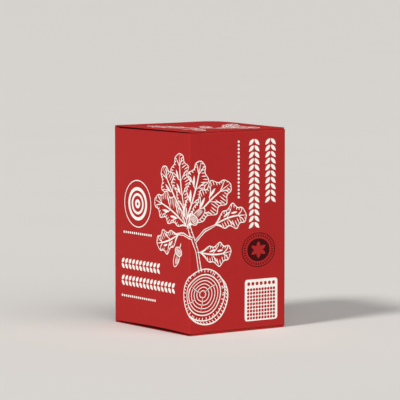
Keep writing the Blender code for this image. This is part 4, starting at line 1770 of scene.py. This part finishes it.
placed = add_node(
    sawdust_tree, "GeometryNodeInstanceOnPoints",
    {"Points": sown.outputs["Points"], "Instance": flat_splinter.outputs[0], "Rotation": lying.outputs[0],
     "Scale": any_size.outputs["Value"]},
)
end_tree(sawdust_tree, placed.outputs[0], splinters)
chips = baked("sawdust_chips", block, sawdust_tree, {"Seed": CHIP_SEED})
print("chips:", len(chips.data.polygons) // CHIP_FACES)
# The chips cling to the block, so they ride on the same body.
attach(chips, "carton")

# %% [markdown]
# ## Grow bag
# The bag is blown polypropylene film a tenth of a millimetre thick. The film is nearly clear with a
# faint milky haze that drifts over it, so the block shows through, and it is smooth, which gives a soft
# shine. Fine wrinkles break that shine up. They are the borders in a Voronoi texture, which run straight
# and meet at corners, as creases in stiff film do. They are drawn wider apart than real ones, to show.

# %% Film
FILM_HAZE = 12.0
FILM_OPACITY = 0.3
CRINKLE = 3.0
CRINKLE_RELIEF = 0.25


def two_toned(name, roughness, size, tones, detail=2.0):
    """A new finish that drifts between two colours, in patches of a size in millimetres."""
    material, tree, shader = new_material(name, roughness)
    place = add_node(tree, "ShaderNodeTexCoord").outputs["Object"]
    share = add_node(
        tree, "ShaderNodeTexNoise", {"Vector": place, "Scale": 1 / (size * MM), "Detail": detail}
    ).outputs["Fac"]
    tone = add_node(
        tree, "ShaderNodeMix", {"Factor": share, 6: linear(tones[0]), 7: linear(tones[1])}, data_type="RGBA"
    )
    tree.links.new(tone.outputs[2], shader.inputs["Base Color"])
    return material, tree, shader, place, share


film, film_tree, film_shader, film_place, _ = two_toned(
    "blown_polypropylene_film", 0.22, FILM_HAZE, ("#F4F6F6", "#DDE1E1")
)
film_shader.inputs["Alpha"].default_value = FILM_OPACITY
film_folds = add_node(
    film_tree, "ShaderNodeTexVoronoi", {"Vector": film_place, "Scale": 1 / (CRINKLE * MM)},
    feature="DISTANCE_TO_EDGE",
)
film_bump = add_node(
    film_tree, "ShaderNodeBump",
    {"Height": film_folds.outputs[0], "Strength": 0.35, "Distance": CRINKLE_RELIEF * MM},
)
film_tree.links.new(film_bump.outputs[0], film_shader.inputs["Normal"])
print("film: opacity", FILM_OPACITY, "with wrinkles about", CRINKLE, "mm apart")

# %% [markdown]
# The filled bag is squeezed flat at the top and folded over. It clings to the block and crumples in
# hard creases, and down the middle of each narrow side runs the inward fold of its gusset. It is the
# same rounded box as the block, pressed in by folded noise, with a Solidify modifier for the film.

# %% Bag body
FILM = 0.12
BAG_EDGE = 9.0
BAG_CUTS = 62
BAG_SET = 0.1
NECK_HEIGHT = 5.0
GUSSET_DEPTH = 1.5
GUSSET_WIDTH = 2.6
GATHERED = 34
CREASE_WIDE = 24
CREASE_TALL = 46
CREASE_DEPTH = 0.35
CREASE_LIMIT = 1.6
GATHER_DEPTH = 0.5
GUSSET_FADES = 0.6
bag_low, bag_high = corners("grow_bag")
bag_top = bag_high.z - NECK_HEIGHT
bag_middle = (bag_low.y + bag_high.y) / 2


def bag_press(point, normal):
    """Hard creases that run mostly up the bag, deeper near the top, and the gusset's inward fold."""
    drawn = Vector((point.x / CREASE_WIDE, point.y / CREASE_WIDE, point.z / CREASE_TALL))
    creases = min(noise.turbulence(drawn, 4, True), CREASE_LIMIT)
    near_top = max(0.0, (point.z - bag_top + GATHERED) / GATHERED)
    gusset = GUSSET_DEPTH * math.exp(-((point.y - bag_middle) / GUSSET_WIDTH) ** 2) * abs(normal.x)
    creased = (CREASE_DEPTH + GATHER_DEPTH * near_top) * creases
    return BAG_SET + creased + gusset * (1 - GUSSET_FADES * near_top)


bag = rounded_box(
    "bag_film_body", bag_low, Vector((bag_high.x, bag_high.y, bag_top)), BAG_EDGE, BAG_CUTS, bag_press, film
)
thickened(bag, "film", FILM, -1.0)
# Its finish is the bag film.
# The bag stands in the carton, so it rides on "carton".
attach(bag, "carton")
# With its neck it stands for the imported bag, which is hidden.
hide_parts("grow_bag")

# %% [markdown]
# The neck is the flat top of the bag, folded over and over into a narrow pad. Seen from the end it is
# one line that runs to and fro, so it is made as that line, drawn out along the fold, with a little
# noise in each layer, because real layers never lie quite alike. Two films lie together in it.

# %% Folded neck
NECK_SIZE = (84.0, 56.0)
NECK_MARGIN = 1.0
NECK_STEPS = 56
NECK_SHRINK = 0.99
NECK_SET = 0.15
NECK_LIFT = 0.16
NECK_SLIP = 0.7
LAYER_PITCH = 1.02
LAYERS = 5
LAYER_STEPS = 14
TURN_STEPS = 6
neck_z = bag_top + NECK_SET


def neck_line():
    """Points (y, z) of the folded film, from its root to its heat-cut end."""
    turn = LAYER_PITCH / 2
    reach = NECK_SIZE[1] / 2 - NECK_MARGIN - turn
    points = []
    for layer in range(LAYERS):
        sign = 1 if layer % 2 == 0 else -1
        level = neck_z + layer * LAYER_PITCH
        points += [(sign * reach * (2 * i / LAYER_STEPS - 1), level) for i in range(LAYER_STEPS + 1)]
        if layer < LAYERS - 1:
            for i in range(1, TURN_STEPS):
                a = math.pi * i / TURN_STEPS
                points.append((sign * (reach + turn * math.sin(a)), level + turn - turn * math.cos(a)))
    return points


def sheet_from(name, rows, material):
    """An open sheet through rows of points, in millimetres."""
    wide = len(rows[0])
    mesh = bpy.data.meshes.new(name)
    faces = [(r * wide + c, r * wide + c + 1, (r + 1) * wide + c + 1, (r + 1) * wide + c)
             for r in range(len(rows) - 1) for c in range(wide - 1)]
    mesh.from_pydata([point * MM for row in rows for point in row], [], faces)
    mesh.materials.append(material)
    mesh.shade_smooth()
    print(f"{name}: {len(mesh.polygons)} faces")
    return put(name, mesh)


neck_rows = []
for i in range(NECK_STEPS + 1):
    x = NECK_SIZE[0] * (i / NECK_STEPS - 0.5) * NECK_SHRINK
    row = []
    for y, z in neck_line():
        lift = NECK_LIFT * noise.noise(Vector((x / 7, y / 11, z / 1.4)))
        slip = NECK_SLIP * noise.noise(Vector((x / 19, z / 1.1, 3.0)))
        row.append(Vector((x, bag_middle + y + slip, z + lift)))
    neck_rows.append(row)
neck = sheet_from("bag_film_neck", neck_rows, film)
thickened(neck, "film", 2 * FILM)
# The neck is of the bag's film and has its finish.
# It is part of the bag, so it rides on the same body.
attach(neck, "carton")
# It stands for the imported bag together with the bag's body.
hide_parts("grow_bag")

# %% [markdown]
# ## Tape and filter patch
# One strip of creped paper tape holds the folded neck. The paper is matt and tan with paler fibres, and
# its crepe is a row of small wrinkles across the strip: a noise that is drawn out sideways and raises
# the surface. Fibres and crepe are drawn coarser than real ones, or the render wouldn't show them.

# %% Crepe paper
CREPE_FIBRE = 0.8
CREPE = 0.9
CREPE_RELIEF = 0.12
ALONG_STRIP = (0.12, 1.0, 1.0)

crepe, crepe_tree, crepe_shader, crepe_place, _ = two_toned(
    "creped_paper_tape", 0.7, CREPE_FIBRE, ("#DFCBA8", "#CDB58C")
)
crepe_drawn = add_node(crepe_tree, "ShaderNodeMapping", {"Vector": crepe_place, "Scale": ALONG_STRIP})
crepe_folds = add_node(
    crepe_tree, "ShaderNodeTexNoise",
    {"Vector": crepe_drawn.outputs[0], "Scale": 1 / (CREPE * MM), "Detail": 2.0},
)
crepe_bump = add_node(
    crepe_tree, "ShaderNodeBump",
    {"Height": crepe_folds.outputs["Fac"], "Strength": 0.8, "Distance": CREPE_RELIEF * MM},
)
crepe_tree.links.new(crepe_bump.outputs[0], crepe_shader.inputs["Normal"])
print("crepe:", CREPE, "mm between wrinkles")

# %% [markdown]
# The strip was pulled over a toothed cutter, so both ends are zigzags. It is a grid of points with the
# teeth in its first and last row, and a slow noise lets it lie a little uneven on the film.

# %% Paper tape
TAPE_PAPER = 0.16
TAPE_SET = 0.2
TAPE_LIFT = 0.13
TAPE_STEPS = 40
TOOTH = 1.6
TOOTH_DEPTH = 0.7
tape_low, tape_high = corners("bag_tape")
tape_columns = int((tape_high.x - tape_low.x) / TOOTH) * 2

tape_rows = []
for i in range(TAPE_STEPS + 1):
    # Positive on the first row, negative on the last: the teeth are cut into the strip.
    cut = TOOTH_DEPTH * ((i == 0) - (i == TAPE_STEPS))
    row = []
    for j in range(tape_columns + 1):
        x = tape_low.x + (tape_high.x - tape_low.x) * j / tape_columns
        y = tape_low.y + (tape_high.y - tape_low.y) * i / TAPE_STEPS
        if j % 2:
            y += cut
        lift = TAPE_LIFT * noise.noise(Vector((x / 6, y / 6, 1.0)))
        row.append(Vector((x, y, tape_low.z + TAPE_SET + lift)))
    tape_rows.append(row)
tape = sheet_from("neck_tape", tape_rows, crepe)
thickened(tape, "paper", TAPE_PAPER)
# The tape holds the neck, so it rides on the bag's body.
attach(tape, "carton")
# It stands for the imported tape, which is hidden.
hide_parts("bag_tape")

# %% [markdown]
# Beside the tape lies the filter, which lets the block breathe and keeps spores out: a square of
# spunbond fleece. Its fibres lie every way and scatter light, so it is white, rough and a little
# mottled. A noise with much detail stands for them, drawn coarser than real fibres so that it shows.

# %% Fleece
FLEECE_FIBRE = 0.5
FLEECE_RELIEF = 0.1

fleece, fleece_tree, fleece_shader, _, fleece_fibre = two_toned(
    "spunbond_filter_fleece", 0.9, FLEECE_FIBRE, ("#F6F6F2", "#DCDCD6"), detail=6.0
)
fleece_bump = add_node(
    fleece_tree, "ShaderNodeBump", {"Height": fleece_fibre, "Strength": 0.6, "Distance": FLEECE_RELIEF * MM}
)
fleece_tree.links.new(fleece_bump.outputs[0], fleece_shader.inputs["Normal"])
print("fleece: fibres drawn", FLEECE_FIBRE, "mm wide")

# %% [markdown]
# The patch is welded flat round its border, and its middle stands up as a soft pad. It is a thin
# rounded box whose upper face is pressed down further at the border.

# %% Filter patch
WELD = 3.2
WELD_SLOPE = 1.6
WELD_DEPTH = 0.34
PAD_SET = 0.16
PATCH_EDGE = 0.28
PATCH_CUTS = 38
patch_low, patch_high = corners("filter_patch")


def patch_press(point, normal):
    """Presses the welded border down and lets the middle stand up."""
    inset = min(point.x - patch_low.x, patch_high.x - point.x, point.y - patch_low.y, patch_high.y - point.y)
    welded = 1 - min(max((inset - WELD) / WELD_SLOPE, 0.0), 1.0)
    return max(normal.z, 0.0) * (PAD_SET + WELD_DEPTH * welded)


patch = rounded_box("filter_fleece_pad", patch_low, patch_high, PATCH_EDGE, PATCH_CUTS, patch_press, fleece)
# The patch is welded to the bag, so it rides on the same body.
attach(patch, "carton")
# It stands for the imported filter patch, which is hidden.
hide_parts("filter_patch")

# %% [markdown]
# Hot pins emboss the fleece with rows of dots that hold its layers together. They are one small dome
# on each point of a grid, made by Geometry Nodes.

# %% Embossed dots
DOME_PITCH = 2.6
DOME_COUNT = 12
DOME = (0.75, 0.75, 0.16)
DOME_SET = 0.18

dot_tree, dots_given = new_tree("embossed_dots", [
    ("Count", "NodeSocketInt", DOME_COUNT),
    ("Width", "NodeSocketFloat", DOME_PITCH * (DOME_COUNT - 1) * MM),
    ("Dome", "NodeSocketVector", tuple(size * MM for size in DOME)),
    ("Centre", "NodeSocketVector", (0.0, 0.0, 0.0)),
])
count, width = dots_given.outputs["Count"], dots_given.outputs["Width"]
dot_grid = add_node(
    dot_tree, "GeometryNodeMeshGrid",
    {"Size X": width, "Size Y": width, "Vertices X": count, "Vertices Y": count},
)
dome = add_node(dot_tree, "GeometryNodeMeshUVSphere", {"Segments": 10, "Rings": 5, "Radius": 1.0})
flat_dome = add_node(
    dot_tree, "GeometryNodeTransform", {"Geometry": dome.outputs[0], "Scale": dots_given.outputs["Dome"]}
)
dots_on = add_node(
    dot_tree, "GeometryNodeInstanceOnPoints",
    {"Points": dot_grid.outputs[0], "Instance": flat_dome.outputs[0]},
)
dots_there = add_node(
    dot_tree, "GeometryNodeTransform",
    {"Geometry": dots_on.outputs[0], "Translation": dots_given.outputs["Centre"]},
)
end_tree(dot_tree, dots_there.outputs[0], fleece)

dot_source = put("dot_source", bpy.data.meshes.new("dot_source"))
dots_centre = (patch_low + patch_high) / 2
dots_centre.z = patch_high.z - DOME_SET
dots = baked("filter_fleece_dots", dot_source, dot_tree, {"Centre": tuple(dots_centre * MM)})
bpy.data.objects.remove(dot_source, do_unlink=True)
dots.data.shade_smooth()
# The dots are part of the patch, so they ride on the same body.
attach(dots, "carton")
# Their finish is the filter fleece, as the patch's is.
print("dots:", DOME_COUNT ** 2)

# %% [markdown]
# ## Floor, light and colours
# The floor is plain, pale and matt, so that it shows the carton's shadow and sends no shine back. Two
# tones that are almost alike, in clouds a third of a metre wide, keep it from looking drawn.

# %% Floor
FLOOR_HALF = 60.0
FLOOR_CLOUDS = 1000 / 3

floor_mesh = bpy.data.meshes.new("floor")
floor_mesh.from_pydata(
    [(x * FLOOR_HALF, y * FLOOR_HALF, 0) for x, y in ((-1, -1), (1, -1), (1, 1), (-1, 1))], [], [(0, 1, 2, 3)]
)
floor_matt = two_toned("pale_matt_floor", 0.9, FLOOR_CLOUDS, ("#D8D4CF", "#D5D1CC"), detail=3.0)[0]
floor_mesh.materials.append(floor_matt)
floor = put("floor", floor_mesh)
# The floor isn't part of the object.
print("floor:", 2 * FLOOR_HALF, "m wide")

# %% [markdown]
# The light is a soft key from the front with a broad fill from the right, and a grey sky lifts the
# shadows. Suns light near and far alike, so the floor keeps one tone up to the top of the picture. The
# key is small enough for a clear shadow, and the fill is so wide that it leaves almost none.

# %% Light
KEY_STRENGTH = 2.28
KEY_FROM = Vector((0.12, -0.99, 0.95))
KEY_SOFTNESS = 13.0
FILL_STRENGTH = 2.0
FILL_FROM = Vector((0.82, -0.055, 0.70))
FILL_SOFTNESS = 70.0
SKY = "#E6E8EC"
SKY_STRENGTH = 0.15


def sun(name, strength, source, softness):
    """A sun that shines from a direction. Its softness is its width in the sky, in degrees."""
    data = bpy.data.lights.new(name, "SUN")
    data.energy = strength
    data.angle = math.radians(softness)
    put(name, data).rotation_euler = source.to_track_quat("Z", "Y").to_euler()
    print(f"{name}: strength {strength}, {softness} degrees wide")


sun("key_light", KEY_STRENGTH, KEY_FROM, KEY_SOFTNESS)
sun("fill_light", FILL_STRENGTH, FILL_FROM, FILL_SOFTNESS)
world = bpy.data.worlds.new("studio")
world.use_nodes = True
background = world.node_tree.nodes["Background"]
background.inputs["Color"].default_value = linear(SKY)
background.inputs["Strength"].default_value = SKY_STRENGTH
bpy.context.scene.world = world
# Standard keeps the reds as bright and as pure as they were set.
bpy.context.scene.view_settings.view_transform = "Standard"
